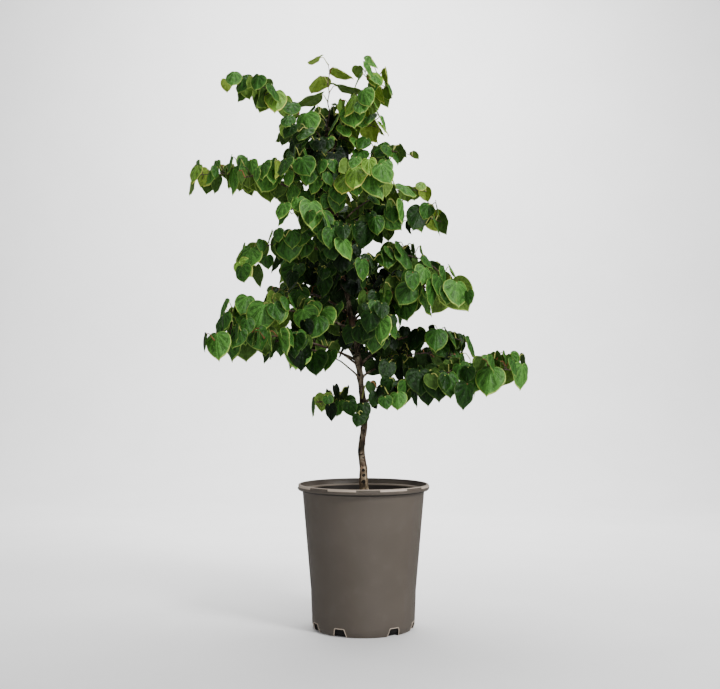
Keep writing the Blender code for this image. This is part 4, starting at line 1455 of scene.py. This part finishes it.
def dress_soil():
    """The potting mix: a rough top inside the pot, and chips of bark scattered on it."""
    rng = random.Random(LOOK_SEED + 9)
    inset = WALL + GAP
    edge = pot_radius(SOIL_TOP) - inset
    rings, count = 26, 96
    corners = [(0, 0, SOIL_TOP)]
    for ring in range(1, rings + 1):
        radius = edge * ring / rings
        for step in range(count):
            a = math.tau * step / count
            x, y = math.cos(a) * radius, math.sin(a) * radius
            rough = noise.fractal(Vector((x * 60, y * 60, 0)), 1.0, 2.0, 4)
            corners.append((x, y, SOIL_TOP + 0.0028 * rough * (1 if ring < rings else 0.3)))
    for radius, height in (
        (WAIST_RADIUS - inset, WAIST_HEIGHT), (HEEL_RADIUS - inset, HEEL_HEIGHT),
        (FOOT_RADIUS - inset - GAP, FLOOR + GAP),
    ):
        corners += [(math.cos(math.tau * s / count) * radius, math.sin(math.tau * s / count) * radius,
                     height) for s in range(count)]
    faces = [(0, 1 + s, 1 + (s + 1) % count) for s in range(count)]
    for level in range(rings + 2):
        for s in range(count):
            a, b = 1 + level * count + s, 1 + level * count + (s + 1) % count
            faces.append((a, a + count, b + count, b))
    last = 1 + (rings + 2) * count
    faces.append(tuple(last + s for s in reversed(range(count))))
    heap = Heap()
    # The mix's sides and bottom take a near-black paint, far darker than its top
    heap.add(corners, faces, range(rings * count, len(faces)))
    earth = soil_paint("potting_mix", (0.010, 0.007, 0.005), (0.055, 0.036, 0.024))
    near_black_sides = soil_paint("damp_mix", (0.0015, 0.0010, 0.0008), (0.0060, 0.0040, 0.0028))
    heap.piece("potting_mix", [earth, near_black_sides], "potting_mix", ["soil"])
    chips = Heap()
    for _ in range(CHIPS):
        radius = (edge - 0.006) * math.sqrt(rng.random())
        angle = rng.uniform(0, math.tau)
        long, wide, thick = rng.uniform(0.004, 0.013), rng.uniform(0.003, 0.007), rng.uniform(0.001, 0.003)
        turn = Matrix.Rotation(rng.uniform(0, math.tau), 3, "Z") @ Matrix.Rotation(
            rng.gauss(0, 0.3), 3, "X") @ Matrix.Rotation(rng.gauss(0, 0.3), 3, "Y")
        place = Vector((math.cos(angle) * radius, math.sin(angle) * radius,
                        SOIL_TOP + rng.uniform(-0.001, 0.0025)))
        box = [
            Vector((x * long / 2 * rng.uniform(0.6, 1), y * wide / 2 * rng.uniform(0.6, 1),
                    z * thick / 2))
            for x in (-1, 1) for y in (-1, 1) for z in (-1, 1)
        ]
        chips.add([place + turn @ c for c in box],
                  [(0, 1, 3, 2), (4, 6, 7, 5), (0, 4, 5, 1), (2, 3, 7, 6), (0, 2, 6, 4), (1, 5, 7, 3)])
    wood = soil_paint("bark_chips", (0.035, 0.020, 0.012), (0.130, 0.080, 0.050))
    chips = chips.piece("bark_chips", [wood], "potting_mix", ["soil"])
    chips.data.shade_flat()


# Stage: a pale floor that curves up into a backdrop, soft lights and the photo's viewpoint


def stage():
    sweep = [(-3.5, 0.0), (2.2, 0.0)]
    sweep += [(2.2 + 1.2 * math.sin(a), 1.2 - 1.2 * math.cos(a))
              for a in (math.radians(9 * i) for i in range(1, 11))]
    sweep += [(3.4, 5.0)]
    corners = [(x, y, z) for y, z in sweep for x in (-7.0, 7.0)]
    faces = [(2 * i, 2 * i + 1, 2 * i + 3, 2 * i + 2) for i in range(len(sweep) - 1)]
    mesh = bpy.data.meshes.new("floor")
    mesh.from_pydata(corners, [], faces)
    mesh.shade_smooth()
    paint = Paint("pale_floor", 0.9)
    paint.colour(paint.ramp(paint.noise(3.0), ((0.4, (0.86, 0.86, 0.86)), (0.6, (0.88, 0.88, 0.88)))))
    mesh.materials.append(paint.material)
    floor = bpy.data.objects.new("floor", mesh)
    bpy.context.scene.collection.objects.link(floor)
    floor.visible_glossy = False


def area_light(name, place, target, size, power):
    light = bpy.data.lights.new(name, "AREA")
    light.shape = "DISK"
    light.size = size
    light.energy = power
    obj = bpy.data.objects.new(name, light)
    obj.location = place
    way = Vector(target) - Vector(place)
    obj.rotation_euler = way.to_track_quat("-Z", "Y").to_euler()
    bpy.context.scene.collection.objects.link(obj)


def light_and_camera():
    area_light("key", (1.9, -1.9, 2.3), (0, 0, 0.62), 0.8, 108)
    area_light("fill", (-2.4, -2.2, 1.2), (0, 0, 0.6), 2.0, 5)
    area_light("front", (1.1, -2.9, 0.8), (0, 0, 0.5), 1.6, 26)
    area_light("top", (-0.2, 0.5, 3.0), (0, 0, 0.7), 1.6, 40)
    area_light("backdrop", (0.0, 1.3, 2.6), (0, 3.6, 0.9), 2.4, 190)
    world = bpy.data.worlds.new("studio")
    bpy.context.scene.world = world
    world.use_nodes = True
    world.node_tree.nodes["Background"].inputs["Color"].default_value = (1, 1, 1, 1)
    world.node_tree.nodes["Background"].inputs["Strength"].default_value = 0.30
    lens = bpy.data.cameras.new("camera")
    lens.sensor_width = 36
    lens.lens = 50.6
    camera = bpy.data.objects.new("camera", lens)
    camera.location = (-0.0074, -2.2, 0.508)
    camera.rotation_euler = (math.radians(90 + 2.574), 0, 0)
    bpy.context.scene.collection.objects.link(camera)
    bpy.context.scene.camera = camera


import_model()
trunk, boughs, masses = grow()
looks, shoots = grow_finer(trunk, boughs, masses)
dress_leaves(looks, masses)
dress_petioles(looks, masses)
dress_twigs(masses, shoots)
dress_bark(boughs)
dress_pot()
dress_soil()
stage()
light_and_camera()
